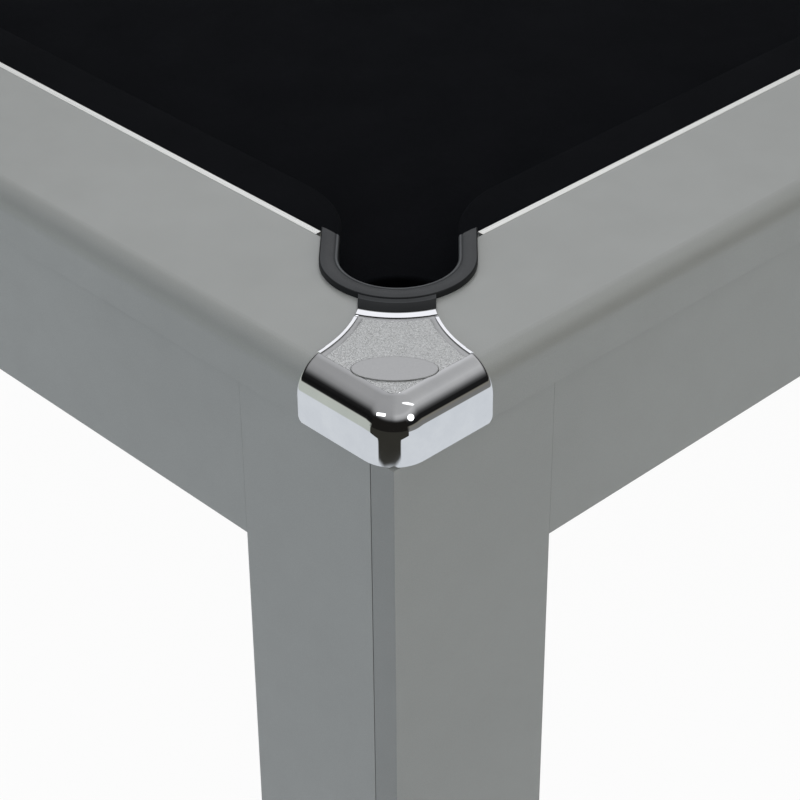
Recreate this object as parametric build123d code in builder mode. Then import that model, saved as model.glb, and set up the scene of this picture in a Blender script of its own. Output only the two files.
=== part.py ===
from build123d import *
from math import acos, atan2, cos, hypot, radians, sin, sqrt, tan
import os

os.makedirs("parts", exist_ok=True)

# Pool table in millimetres. X runs along the long sides, Y across, Z up from the floor.
# The origin is on the floor under the middle of the table; front is -Y and left is -X.

# Playing area between the cushion noses, and height of the rail tops
play_length = 1830.0
play_width = 915.0
table_height = 810.0

# Top rails and the bright strip along their inner edge
rail_width = 124.2
rail_thickness = 42.0
rail_round = 17.0
rail_corner_radius = 24.5
rail_seam = 0.2
trim_width = 5.4
trim_depth = 14.0
trim_proud = 0.3
trim_fit = 0.3

# Cushions: timber block, rubber strip and cloth cover
cushion_width = 48.4
cushion_top = 40.5
cushion_shoulder = 39.2
nose_height = 32.5
nose_radius = 3.5
block_width = 22.0
rubber_foot = 10.0
cover_thickness = 1.0
corner_knuckle_core = 35.0
middle_knuckle_core = 10.0
jaw_run_out = 6.0

# Cabinet boards and legs
board = 22.0
board_ease = 0.25
cabinet_inset = 2.5
leg_size = 153.0
leg_seam = 0.6
apron_height = 132.5
foot_gap = 28.0
base_block_height = 40.0

# Bed and the bearers below it
slate_thickness = 19.0
cloth_thickness = 1.0
cloth_margin = 28.0
slate_gap = 1.0
slab_seam = 0.2
bearer_width = 28.0
bearer_height = 90.0
cross_bearer_places = (-0.62, -0.25, 0.25, 0.62)

# Pockets
pocket_radius = 42.5
corner_pocket_reach = 197.5
middle_pocket_setback = 115.0
liner_wall = 4.5
liner_fit = 0.3
liner_flange = 13.5
liner_lift = 5.0
liner_lip_round = 1.6
liner_skirt = 8.0
tab_reach = 14.6
tab_lift = 2.5
bed_hole_radius = 50.0

# Drop-pocket cups
cup_clearance = 0.5
cup_wall = 2.5
cup_depth = 100.0
cup_floor_round = 22.0
cup_flange = 9.0
cup_flange_thickness = 3.0

# Corner caps
cap_shell = 3.0
cap_reach = 90.0
cap_flare = 12.0
cap_side_hollow = 4.5
cap_neck_gap = 1.0
cap_neck_half_angle = 22.0
cap_skirt_round = 5.0
cap_rim = 3.0
panel_lip = 0.7
panel_tip_round = 8.0
panel_recess = 0.8
oval_length = 58.0
oval_width = 29.0
oval_place = 56.0
oval_proud = 0.4
stud_diameter = 6.0
stud_length = 34.0
stud_place = (75.0, 35.0)
stud_clearance = 0.3
nut_width = 10.0
nut_height = 5.0
nut_pocket_diameter = 15.0
nut_pocket_depth = 14.0
thread_fit = 0.05

# Bolts through the slate into the rails
rail_bolt_diameter = 8.0
rail_bolt_length = 48.0
rail_bolt_setback = 70.0
rail_bolt_clearance = 1.5
long_rail_bolt_places = (0.13, 0.435, 0.785)
end_rail_bolt_places = (0.2, 0.6)
bolt_flange_diameter = 20.0
bolt_flange_thickness = 2.0
bolt_head_width = 13.0
bolt_head_height = 5.5

# Bolts through the bearers into legs and aprons
cabinet_bolt_diameter = 8.0
cabinet_bolt_bite = 14.0
leg_bolt_places = (75.0, 125.0)
long_apron_bolt_places = (0.1, 0.42, 0.75)
end_apron_bolt_places = (0.15, 0.55)

# Screws that hold the cups to the slate
cup_screw_diameter = 5.0
cup_screw_bite = 12.0
cup_screw_head_diameter = 8.0
cup_screw_head_height = 3.0
cup_screw_count = 3

# Screw feet
stem_diameter = 16.0
stem_length = 88.0
stem_fit = 0.1
lock_nut_width = 24.0
lock_nut_height = 10.0
lock_nut_gap = 0.4
insert_flange_diameter = 44.0
insert_flange_thickness = 3.0
insert_barrel_diameter = 24.0
insert_barrel_length = 34.0
pad_diameter = 76.0
pad_height = 13.0
pad_edge = 5.0
pad_hub_diameter = 30.0
pad_socket_floor = 6.0
pad_socket_fit = 0.4

# Levels and outlines that follow from the sizes above
bed_top = table_height - rail_thickness
slate_top = bed_top - cloth_thickness
slate_bottom = slate_top - slate_thickness
bearer_bottom = slate_bottom - bearer_height
apron_bottom = bed_top - apron_height
cushion_depth = trim_width + cushion_width
nose_setback = rail_width + cushion_depth
half_length = play_length / 2 + nose_setback
half_width = play_width / 2 + nose_setback
cabinet_half_length = half_length - cabinet_inset
cabinet_half_width = half_width - cabinet_inset
bearer_inner = board + bearer_width
corner_inset = corner_pocket_reach / sqrt(2)
flange_radius = pocket_radius + liner_flange
wall_radius = pocket_radius + liner_wall
rail_slot_radius = wall_radius + liner_fit
tab_radius = flange_radius + tab_reach
neck_radius = tab_radius + cap_neck_gap
cap_top = table_height + cap_shell
panel_setback = rail_round + panel_lip
far = half_length + half_width

corners = {
    "front_left": (-1, -1),
    "front_right": (1, -1),
    "back_left": (-1, 1),
    "back_right": (1, 1),
}
sides = {"front": -1, "back": 1}
ends = {"left": -1, "right": 1}
low_corner = (Align.MIN, Align.MIN, Align.MIN)
on_base = (Align.CENTER, Align.CENTER, Align.MIN)
below_base = (Align.CENTER, Align.CENTER, Align.MAX)


def save(part, name):
    part.label = name
    export_step(part, f"parts/{name}.step")


def at_corner(along, across):
    """Point given from the outer corner of the front left rails."""
    return (-half_length + along, -half_width + across)


def at_leg(along, across):
    """Point given from the outer corner of the front left leg."""
    return (-cabinet_half_length + along, -cabinet_half_width + across)


def mirrored(shape, side_x, side_y):
    """Copy of a front left piece at another corner."""
    with BuildPart() as copy:
        add(shape)
        if side_x > 0:
            mirror(about=Plane.YZ, mode=Mode.REPLACE)
        if side_y > 0:
            mirror(about=Plane.XZ, mode=Mode.REPLACE)
    return copy.part


def group(shapes):
    """Separate pieces kept side by side in one group."""
    return Compound([solid for shape in shapes for solid in shape.solids()])


def at_all_corners(shape):
    return group([mirrored(shape, *side) for side in corners.values()])


def board_box(low, high):
    """Board with eased edges between two opposite corner points."""
    size = [top - bottom for bottom, top in zip(low, high)]
    with BuildPart() as piece:
        with Locations(low):
            Box(*size, align=low_corner)
        fillet(piece.edges(), board_ease)
    return piece.part


def corner_board(low, high):
    """Board given by along, across and height from the front left leg's corner."""
    return board_box((*at_leg(low[0], low[1]), low[2]), (*at_leg(high[0], high[1]), high[2]))


# Pockets: the sketch plane of each looks along its mouth, towards the bed


def corner_pocket(side_x, side_y):
    origin = (side_x * (half_length - corner_inset), side_y * (half_width - corner_inset), 0)
    return Plane(origin=origin, x_dir=(-side_x, -side_y, 0), z_dir=(0, 0, 1))


def middle_pocket(side_y):
    origin = (0, side_y * (half_width - middle_pocket_setback), 0)
    return Plane(origin=origin, x_dir=(0, -side_y, 0), z_dir=(0, 0, 1))


corner_pockets = {name: corner_pocket(*side) for name, side in corners.items()}
middle_pockets = {name: middle_pocket(side) for name, side in sides.items()}
pockets = [*corner_pockets.values(), *middle_pockets.values()]


def slot(radius, reach, mode=Mode.ADD):
    """Round-ended slot that opens along the mouth."""
    Circle(radius, mode=mode)
    with Locations((reach / 2, 0)):
        Rectangle(abs(reach), 2 * radius, mode=mode)


def cut_field(start, half_angle):
    """Takes away the side of the rail edge that faces the bed."""
    rise = far * sin(radians(half_angle))
    run = far * cos(radians(half_angle))
    Polygon(
        (start, 0),
        (start + 2 * far, -rise),
        (start + 2 * far, rise),
        (start + run, rise),
        align=None,
        mode=Mode.SUBTRACT,
    )
    Polygon(
        (start, 0),
        (start + run, -rise),
        (start + 2 * far, -rise),
        align=None,
        mode=Mode.SUBTRACT,
    )


# Bed


def bolt_points():
    """Plan points of the rail bolts, long rails first."""
    points = []
    for side in (-1, 1):
        for place in long_rail_bolt_places:
            for end in (-1, 1):
                points.append((end * place * half_length, side * (half_width - rail_bolt_setback)))
        for place in end_rail_bolt_places:
            for end in (-1, 1):
                points.append((end * (half_length - rail_bolt_setback), side * place * half_width))
    return points


cup_screw_circle = bed_hole_radius + cup_clearance + cup_wall + cup_flange / 2


def slab_seam_places():
    """Seams of the three slabs, over the two inner cross bearers."""
    return [place * cabinet_half_length for place in cross_bearer_places[1:-1]]


def make_slate():
    """Three slabs that meet over the cross bearers."""
    with BuildPart() as slate:
        with Locations((0, 0, slate_bottom)):
            Box(
                2 * (cabinet_half_length - board - slate_gap),
                2 * (cabinet_half_width - board - slate_gap),
                slate_thickness,
                align=on_base,
            )
        with Locations(*[(x, y, slate_bottom) for x, y in bolt_points()]):
            Cylinder(
                rail_bolt_diameter / 2 + rail_bolt_clearance,
                slate_thickness,
                align=on_base,
                mode=Mode.SUBTRACT,
            )
        for pocket in pockets:
            with BuildSketch(pocket.offset(slate_bottom)):
                Circle(bed_hole_radius)
            extrude(amount=slate_thickness, mode=Mode.SUBTRACT)
            with BuildSketch(pocket.offset(slate_bottom)):
                with PolarLocations(cup_screw_circle, cup_screw_count):
                    Circle(cup_screw_diameter / 2 + thread_fit)
            extrude(amount=cup_screw_bite, mode=Mode.SUBTRACT)
        with Locations(*[(place, 0, slate_bottom) for place in slab_seam_places()]):
            Box(slab_seam, 2 * cabinet_half_width, slate_thickness, align=on_base, mode=Mode.SUBTRACT)
    return slate.part


def make_bed_cloth():
    inset = rail_width - cloth_margin
    with BuildPart() as cloth:
        with Locations((0, 0, slate_top)):
            Box(
                2 * (half_length - inset),
                2 * (half_width - inset),
                cloth_thickness,
                align=on_base,
            )
        for pocket in pockets:
            with BuildSketch(pocket.offset(slate_top)):
                slot(bed_hole_radius, -corner_pocket_reach)
            extrude(amount=cloth_thickness, mode=Mode.SUBTRACT)
    return cloth.part


# Rails


def make_rail_ring():
    with BuildPart() as ring:
        with BuildSketch(Plane.XY.offset(bed_top)):
            RectangleRounded(2 * half_length, 2 * half_width, rail_corner_radius)
        extrude(amount=rail_thickness)
        fillet(ring.faces().sort_by(Axis.Z)[-1].edges(), rail_round)
        fillet(ring.faces().sort_by(Axis.Z)[0].edges(), board_ease)
        with BuildSketch(Plane.XY.offset(bed_top)):
            Rectangle(2 * (half_length - rail_width), 2 * (half_width - rail_width))
        extrude(amount=rail_thickness, mode=Mode.SUBTRACT)
        for pocket in pockets:
            with BuildSketch(pocket.offset(bed_top)):
                slot(rail_slot_radius, rail_width)
            extrude(amount=rail_thickness, mode=Mode.SUBTRACT)
        with Locations(*[(x, y, bed_top) for x, y in bolt_points()]):
            Cylinder(
                rail_bolt_diameter / 2 + thread_fit,
                slate_bottom + rail_bolt_length - bed_top,
                align=on_base,
                mode=Mode.SUBTRACT,
            )
        with Locations(*[(x, y, bed_top) for x, y in stud_points()]):
            Cylinder(
                stud_diameter / 2 + stud_clearance,
                rail_thickness,
                align=on_base,
                mode=Mode.SUBTRACT,
            )
            Cylinder(nut_pocket_diameter / 2, nut_pocket_depth, align=on_base, mode=Mode.SUBTRACT)
    return ring.part


def stud_points():
    """Plan points of the cap studs, one in each rail end."""
    points = []
    for side_x, side_y in corners.values():
        for along, across in (stud_place, stud_place[::-1]):
            points.append((side_x * (half_length - along), side_y * (half_width - across)))
    return points


def make_rail(ring, outline):
    """Rail between its two mitres."""
    with BuildPart() as rail:
        add(ring)
        with BuildSketch(Plane.XY.offset(bed_top)):
            Polygon(*outline, align=None)
        extrude(amount=rail_thickness, mode=Mode.INTERSECT)
    return rail.part


def make_rails():
    ring = make_rail_ring()
    rails = {}
    for name, side in sides.items():
        halves = []
        for end in (-1, 1):
            outline = [
                (end * half_length, side * half_width),
                (end * rail_seam / 2, side * half_width),
                (end * rail_seam / 2, 0),
                (end * (half_length - half_width), 0),
            ]
            halves.append(make_rail(ring, outline))
        rails[name] = group(halves)
    for name, side in ends.items():
        outline = [
            (side * half_length, -half_width),
            (side * half_length, half_width),
            (side * (half_length - half_width), 0),
        ]
        rails[name] = make_rail(ring, outline)
    return rails


# Cushions: each section is drawn from the nose inwards and carried along the nose line


def touch_point(point, centre, radius, side):
    """Where a line from the point touches the nose circle."""
    across = point[0] - centre[0]
    up = point[1] - centre[1]
    swing = acos(radius / hypot(across, up))
    angle = atan2(up, across) + side * swing
    return (centre[0] + radius * cos(angle), centre[1] + radius * sin(angle))


rubber_back = cushion_depth - block_width
nose_centre = (nose_radius, nose_height)
trim_face = cushion_depth - trim_width - trim_fit
cover_setback = rail_width + trim_width + trim_fit


def nose_points(growth):
    """Upper touch point, tip and lower touch point of the nose."""
    radius = nose_radius - cover_thickness + growth
    shoulder = (rubber_back, cushion_shoulder - cover_thickness + growth)
    foot = (rubber_back - growth, rubber_foot - growth)
    upper = touch_point(shoulder, nose_centre, radius, 1)
    lower = touch_point(foot, nose_centre, radius, -1)
    return shoulder, upper, (nose_radius - radius, nose_height), lower, foot


def rubber_section():
    shoulder, upper, tip, lower, foot = nose_points(0)
    with BuildSketch() as section:
        with BuildLine():
            Line(shoulder, upper)
            ThreePointArc(upper, tip, lower)
            Polyline(lower, foot, shoulder)
        make_face()
    return section.sketch


def block_section():
    top = cushion_top - cover_thickness
    with BuildSketch() as section:
        Polygon(
            (cushion_depth, 0),
            (cushion_depth, top),
            (trim_face, top),
            (rubber_back, cushion_shoulder - cover_thickness),
            (rubber_back, 0),
            align=None,
        )
    return section.sketch


def cover_section():
    shoulder, upper, tip, lower, foot = nose_points(cover_thickness)
    shoulder_in, upper_in, tip_in, lower_in, foot_in = nose_points(0)
    top = (trim_face, cushion_top)
    top_in = (trim_face, cushion_top - cover_thickness)
    with BuildSketch() as section:
        with BuildLine():
            Polyline(top, shoulder, upper)
            ThreePointArc(upper, tip, lower)
            Polyline(lower, foot, (foot[0], 0), (rubber_back, 0), foot_in, lower_in)
            ThreePointArc(lower_in, tip_in, upper_in)
            Polyline(upper_in, shoulder_in, top_in, top)
        make_face()
    return section.sketch


corner_knuckle = cushion_depth + corner_knuckle_core
middle_knuckle = cushion_depth + middle_knuckle_core
knuckle_start = nose_setback + pocket_radius * sqrt(2) + corner_knuckle * tan(radians(22.5))


def long_nose_line():
    """From the middle pocket along the front to the left corner pocket."""
    start = (-pocket_radius, -play_width / 2 - middle_knuckle, bed_top)
    first = JernArc(start, (0, 1, 0), middle_knuckle, 90)
    nose = Line(first @ 1, (-half_length + knuckle_start, -play_width / 2, bed_top))
    second = JernArc(nose @ 1, (-1, 0, 0), corner_knuckle, 45)
    run = (second @ 1).Y + half_width - rail_width + jaw_run_out
    Line(second @ 1, second @ 1 + Vector(-run, -run, 0))


def end_nose_line():
    """From the front left corner pocket along the end to the back left one."""
    turn = corner_knuckle * (1 - cos(radians(45)))
    run = cushion_depth - turn + jaw_run_out
    bend = (
        -play_length / 2 - turn,
        -half_width + knuckle_start - corner_knuckle * sin(radians(45)),
        bed_top,
    )
    Line(Vector(*bend) - Vector(run, run, 0), bend)
    first = JernArc(bend, (1, 1, 0), corner_knuckle, 45)
    nose = Line(first @ 1, (-play_length / 2, half_width - knuckle_start, bed_top))
    second = JernArc(nose @ 1, (0, 1, 0), corner_knuckle, 45)
    Line(second @ 1, second @ 1 + Vector(-run, run, 0))


def make_cushion(nose_line, section, keep_low, keep_high):
    """Section carried along the nose line and trimmed at the rail."""
    with BuildPart() as cushion:
        with BuildLine() as path:
            nose_line()
        heading = path.line % 0
        inward = Vector(0, 0, 1).cross(heading)
        with BuildSketch(Plane(origin=path.line @ 0, x_dir=inward, z_dir=heading)):
            add(section)
        sweep(path=path.line)
        with BuildSketch(Plane.XY.offset(bed_top)):
            with Locations(keep_low):
                Rectangle(
                    keep_high[0] - keep_low[0],
                    keep_high[1] - keep_low[1],
                    align=(Align.MIN, Align.MIN),
                )
        extrude(amount=rail_thickness, mode=Mode.INTERSECT)
    return cushion.part


def long_cushion(section, setback):
    return make_cushion(long_nose_line, section, (-half_length, -half_width + setback), (0, 0))


def end_cushion(section, setback):
    return make_cushion(end_nose_line, section, (-half_length + setback, -half_width), (0, half_width))


def cushion_set(section, setback):
    """All six pieces of one kind, by place."""
    long_piece = long_cushion(section, setback)
    end_piece = end_cushion(section, setback)
    pieces = {name: mirrored(long_piece, *side) for name, side in corners.items()}
    for name, side in ends.items():
        pieces[name] = mirrored(end_piece, side, -1)
    return pieces


def make_blocks():
    """Timber blocks with the channel for the trim strips."""
    with BuildPart() as blocks:
        add(group(cushion_set(block_section(), rail_width).values()))
        with BuildSketch(Plane.XY.offset(table_height + trim_proud - trim_depth)):
            Rectangle(2 * (half_length - rail_width), 2 * (half_width - rail_width))
            Rectangle(
                2 * (half_length - cover_setback),
                2 * (half_width - cover_setback),
                mode=Mode.SUBTRACT,
            )
        extrude(amount=trim_depth, mode=Mode.SUBTRACT)
    return group([blocks.part])


def make_trim_strips():
    """Strip between pockets along each rail."""
    clear = flange_radius + trim_fit
    corner_end = rail_width + trim_width + clear * sqrt(2)
    low = table_height + trim_proud - trim_depth
    high = table_height + trim_proud
    long_strip = board_box(
        (-half_length + corner_end, -half_width + rail_width, low),
        (-clear, -half_width + rail_width + trim_width, high),
    )
    end_strip = board_box(
        (-half_length + rail_width, -half_width + corner_end, low),
        (-half_length + rail_width + trim_width, half_width - corner_end, high),
    )
    strips = [mirrored(long_strip, *side) for side in corners.values()]
    strips += [mirrored(end_strip, side, -1) for side in ends.values()]
    return group(strips)


# Pocket liners and cups


def make_liner(pocket, rail_edge, half_angle, has_tab):
    """U-shaped liner: flange on the rail, wall in the rail slot, skirt through the slate."""
    with BuildPart() as liner:
        with BuildSketch(pocket.offset(table_height)):
            slot(flange_radius, rail_width)
            slot(pocket_radius, 2 * rail_width, mode=Mode.SUBTRACT)
            cut_field(rail_edge + trim_width / sin(radians(half_angle)), half_angle)
        extrude(amount=liner_lift)
        fillet(liner.faces().sort_by(Axis.Z)[-1].edges(), liner_lip_round)
        with BuildSketch(pocket.offset(bed_top)):
            slot(wall_radius, rail_width)
            slot(pocket_radius, 2 * rail_width, mode=Mode.SUBTRACT)
            cut_field(rail_edge, half_angle)
        extrude(amount=rail_thickness)
        with BuildSketch(pocket.offset(slate_bottom - liner_skirt)):
            Circle(wall_radius)
            slot(pocket_radius, 2 * rail_width, mode=Mode.SUBTRACT)
            with Locations((wall_radius, 0)):
                Rectangle(2 * wall_radius, 2 * wall_radius, mode=Mode.SUBTRACT)
        extrude(amount=bed_top - slate_bottom + liner_skirt)
        if has_tab:
            with BuildSketch(pocket.offset(table_height)):
                with BuildLine():
                    start = 180 - cap_neck_half_angle
                    turn = 2 * cap_neck_half_angle
                    outer = CenterArc((0, 0), tab_radius, start, turn)
                    inner = CenterArc((0, 0), flange_radius - liner_lip_round, start, turn)
                    Line(outer @ 0, inner @ 0)
                    Line(outer @ 1, inner @ 1)
                make_face()
            extrude(amount=tab_lift)
    return liner.part


def cup_form(pocket, radius, low, floor_round):
    """Round-bottomed body up to the slate."""
    with BuildPart() as form:
        with BuildSketch(pocket.offset(low)):
            Circle(radius)
        extrude(amount=slate_bottom - low)
        fillet(form.faces().sort_by(Axis.Z)[0].edges(), floor_round)
    return form.part


def make_cup(pocket):
    """Moulded cup hung under the slate."""
    inner = bed_hole_radius + cup_clearance
    outer = inner + cup_wall
    low = slate_bottom - cup_depth
    with BuildPart() as cup:
        add(cup_form(pocket, outer, low, cup_floor_round))
        with BuildSketch(pocket.offset(slate_bottom - cup_flange_thickness)):
            Circle(outer + cup_flange)
            with PolarLocations(cup_screw_circle, cup_screw_count):
                Circle(cup_screw_diameter / 2 + thread_fit, mode=Mode.SUBTRACT)
        extrude(amount=cup_flange_thickness)
        hollow = cup_form(pocket, inner, low + cup_wall, cup_floor_round - cup_wall)
        add(hollow, mode=Mode.SUBTRACT)
    return cup.part


def make_cup_screws():
    with BuildPart() as screws:
        head_top = slate_bottom - cup_flange_thickness
        for pocket in pockets:
            with BuildSketch(pocket.offset(head_top - cup_screw_head_height)):
                with PolarLocations(cup_screw_circle, cup_screw_count):
                    Circle(cup_screw_head_diameter / 2)
            extrude(amount=cup_screw_head_height)
            with BuildSketch(pocket.offset(head_top)):
                with PolarLocations(cup_screw_circle, cup_screw_count):
                    Circle(cup_screw_diameter / 2)
            extrude(amount=cup_flange_thickness + cup_screw_bite)
    return screws.part


# Corner caps, drawn at the front left corner


def corner_form(growth):
    """Rounded rail corner, grown outwards and upwards."""
    size = 2 * corner_pocket_reach
    with BuildPart() as form:
        with Locations((*at_corner(-growth, -growth), bed_top)):
            Box(size, size, rail_thickness + growth, align=low_corner)
        uprights = form.edges().filter_by(Axis.Z)
        corner = uprights.sort_by(lambda edge: edge.center().X + edge.center().Y)[0]
        fillet(corner, rail_corner_radius + growth)
        rim = form.faces().sort_by(Axis.Z)[-1].edges()
        outer = rim.sort_by(lambda edge: min(edge.center().X + half_length, edge.center().Y + half_width))
        fillet(outer[:3], rail_round + growth)
    return form.part


def neck_point(turn):
    """Point on the neck, concentric with the pocket, from its middle."""
    angle = radians(225 + turn)
    return (corner_inset + neck_radius * cos(angle), corner_inset + neck_radius * sin(angle))


def hollow_middle(flare, neck):
    """Middle of the hollow side curve on the front rail."""
    run = neck[0] - flare[0]
    rise = neck[1] - flare[1]
    length = hypot(run, rise)
    along = (flare[0] + neck[0]) / 2 - cap_side_hollow * rise / length
    across = (flare[1] + neck[1]) / 2 + cap_side_hollow * run / length
    return (along, across)


def cap_outline(reach, flare, turn):
    """Plan of the cap as a closed line, straight past the outer faces."""
    past = -2 * cap_shell
    front_flare = (reach, flare)
    front_neck = neck_point(turn)
    front_middle = hollow_middle(front_flare, front_neck)
    ThreePointArc(at_corner(*front_flare), at_corner(*front_middle), at_corner(*front_neck))
    ThreePointArc(at_corner(*front_neck), at_corner(*neck_point(0)), at_corner(*front_neck[::-1]))
    ThreePointArc(
        at_corner(*front_neck[::-1]),
        at_corner(*front_middle[::-1]),
        at_corner(*front_flare[::-1]),
    )
    Polyline(
        at_corner(*front_flare[::-1]),
        at_corner(past, reach),
        at_corner(past, past),
        at_corner(reach, past),
        at_corner(*front_flare),
    )


def make_cap():
    with BuildPart() as cap:
        add(corner_form(cap_shell))
        add(corner_form(0), mode=Mode.SUBTRACT)
        with BuildSketch(Plane.XY.offset(bed_top)):
            with BuildLine():
                cap_outline(cap_reach, cap_flare, cap_neck_half_angle)
            make_face()
        extrude(amount=rail_thickness + cap_shell, mode=Mode.INTERSECT)
        skirt_ends = cap.edges().group_by(Axis.Z)[0].sort_by(SortBy.LENGTH)[:2]
        fillet(skirt_ends, cap_skirt_round)
        with BuildSketch(Plane.XY.offset(cap_top)) as panel:
            with BuildLine():
                cap_outline(cap_reach, cap_flare, cap_neck_half_angle)
            make_face()
            offset(amount=-cap_rim, mode=Mode.REPLACE)
            with Locations(at_corner(panel_setback, panel_setback)):
                Rectangle(
                    2 * corner_inset,
                    2 * corner_inset,
                    align=(Align.MIN, Align.MIN),
                    mode=Mode.INTERSECT,
                )
            fillet(panel.vertices().sort_by(lambda point: point.X + point.Y)[0], panel_tip_round)
        extrude(amount=-panel_recess, mode=Mode.SUBTRACT)
        middle = (*at_corner(oval_place / sqrt(2), oval_place / sqrt(2)), cap_top - panel_recess)
        with BuildSketch(Plane(origin=middle, x_dir=(1, -1, 0), z_dir=(0, 0, 1))):
            Ellipse(oval_length / 2, oval_width / 2)
        extrude(amount=panel_recess + oval_proud)
        studs = [(*at_corner(*place), table_height) for place in (stud_place, stud_place[::-1])]
        with Locations(*studs):
            Cylinder(stud_diameter / 2, stud_length, align=below_base)
    return cap.part


def make_cap_nuts():
    low = bed_top + nut_pocket_depth - nut_height
    with BuildPart() as nuts:
        with BuildSketch(Plane.XY.offset(low)):
            with Locations(*stud_points()):
                RegularPolygon(nut_width / 2, 6, major_radius=False)
                Circle(stud_diameter / 2 + thread_fit, mode=Mode.SUBTRACT)
        extrude(amount=nut_height)
    return nuts.part


# Cabinet


def make_bolt(plane, shank_diameter, shank_length):
    """Flanged hexagon bolt: its shank runs along the plane's normal from the seat."""
    with BuildPart() as bolt:
        with BuildSketch(plane):
            Circle(shank_diameter / 2)
        extrude(amount=shank_length)
        with BuildSketch(plane):
            Circle(bolt_flange_diameter / 2)
        extrude(amount=-bolt_flange_thickness)
        with BuildSketch(plane.offset(-bolt_flange_thickness)):
            RegularPolygon(bolt_head_width / 2, 6, major_radius=False)
        extrude(amount=-bolt_head_height)
    return bolt.part


def make_rail_bolts():
    planes = [Plane(origin=(x, y, slate_bottom)) for x, y in bolt_points()]
    return group([make_bolt(plane, rail_bolt_diameter, rail_bolt_length) for plane in planes])


cabinet_bolt_height = (bearer_bottom + slate_bottom) / 2
cabinet_bolt_length = bearer_width + cabinet_bolt_bite


def side_bolt_places():
    """Places along half a long side: leg bolts, then apron bolts."""
    legs = [cabinet_half_length - place for place in leg_bolt_places]
    return legs + [place * (cabinet_half_length - leg_size) for place in long_apron_bolt_places]


def end_bolt_places():
    """Places along half an end."""
    legs = [cabinet_half_width - place for place in leg_bolt_places]
    return legs + [place * (cabinet_half_width - leg_size) for place in end_apron_bolt_places]


def cabinet_bolt_planes():
    """Seats of the cabinet bolts on the inner faces of the bearers."""
    planes = []
    for sign in (-1, 1):
        for side in (-1, 1):
            for place in side_bolt_places():
                seat = (sign * place, side * (cabinet_half_width - bearer_inner), cabinet_bolt_height)
                planes.append(Plane(origin=seat, x_dir=(0, 0, 1), z_dir=(0, side, 0)))
            for place in end_bolt_places():
                seat = (side * (cabinet_half_length - bearer_inner), sign * place, cabinet_bolt_height)
                planes.append(Plane(origin=seat, x_dir=(0, 0, 1), z_dir=(side, 0, 0)))
    return planes


def make_cabinet_bolts():
    planes = cabinet_bolt_planes()
    return group([make_bolt(plane, cabinet_bolt_diameter, cabinet_bolt_length) for plane in planes])


def bored(shape):
    """Piece with the cabinet bolt holes through it."""
    with BuildPart() as piece:
        add(shape)
        for plane in cabinet_bolt_planes():
            with BuildSketch(plane):
                Circle(cabinet_bolt_diameter / 2 + thread_fit)
            extrude(amount=cabinet_bolt_length, mode=Mode.SUBTRACT)
    return piece.part


def make_bearers():
    """Frame of two long and two end bearers inside the cabinet."""
    long_bearer = board_box(
        (-cabinet_half_length + board, -cabinet_half_width + board, bearer_bottom),
        (cabinet_half_length - board, -cabinet_half_width + bearer_inner, slate_bottom),
    )
    end_bearer = board_box(
        (-cabinet_half_length + board, -cabinet_half_width + bearer_inner, bearer_bottom),
        (-cabinet_half_length + bearer_inner, cabinet_half_width - bearer_inner, slate_bottom),
    )
    long_bearer = bored(long_bearer)
    end_bearer = bored(end_bearer)
    return [
        long_bearer,
        mirrored(long_bearer, -1, 1),
        end_bearer,
        mirrored(end_bearer, 1, -1),
    ]


def make_cross_bearers():
    with BuildPart() as bearers:
        with Locations(*[(place * cabinet_half_length, 0, bearer_bottom) for place in cross_bearer_places]):
            Box(bearer_width, 2 * (cabinet_half_width - bearer_inner), bearer_height, align=on_base)
    return bearers.part


def make_aprons():
    long_apron = board_box(
        (-cabinet_half_length + leg_size, -cabinet_half_width, apron_bottom),
        (cabinet_half_length - leg_size, -cabinet_half_width + board, bed_top),
    )
    end_apron = board_box(
        (-cabinet_half_length, -cabinet_half_width + leg_size, apron_bottom),
        (-cabinet_half_length + board, cabinet_half_width - leg_size, bed_top),
    )
    aprons = {}
    for name, side in sides.items():
        aprons[name] = mirrored(bored(long_apron), -1, side)
    for name, side in ends.items():
        aprons[name] = mirrored(bored(end_apron), side, -1)
    return aprons


# Legs and screw feet, drawn at the front left corner

leg_inner = leg_size - board
foot_place = at_leg(leg_size / 2, leg_size / 2)


def make_face_board():
    """Full-width board on the long side of the table."""
    return bored(corner_board((0, 0, foot_gap), (leg_size, board, bed_top)))


def make_side_board():
    """Board on the end of the table, behind the face board."""
    return bored(corner_board((0, board + leg_seam, foot_gap), (board, leg_size, bed_top)))


def make_inner_boards():
    """Two boards that close the leg below the cabinet."""
    across = corner_board((leg_inner, board, foot_gap), (leg_size, leg_size, apron_bottom))
    along = corner_board((board, leg_inner, foot_gap), (leg_inner, leg_size, apron_bottom))
    return [across, along]


def make_leg_blocks():
    """Top block and bored base block."""
    top = corner_board((board, board, apron_bottom - board), (leg_inner, leg_inner, apron_bottom))
    with BuildPart() as base:
        add(corner_board((board, board, foot_gap), (leg_inner, leg_inner, foot_gap + base_block_height)))
        with Locations((*foot_place, foot_gap)):
            Cylinder(
                insert_barrel_diameter / 2 + thread_fit,
                base_block_height,
                align=on_base,
                mode=Mode.SUBTRACT,
            )
    return [top, base.part]


def make_insert():
    with BuildPart() as insert:
        with Locations((*foot_place, foot_gap)):
            Cylinder(insert_flange_diameter / 2, insert_flange_thickness, align=below_base)
            Cylinder(insert_barrel_diameter / 2, insert_barrel_length, align=on_base)
        with Locations((*foot_place, foot_gap - insert_flange_thickness)):
            Cylinder(
                stem_diameter / 2 + stem_fit,
                insert_flange_thickness + insert_barrel_length,
                align=on_base,
                mode=Mode.SUBTRACT,
            )
    return insert.part


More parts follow.
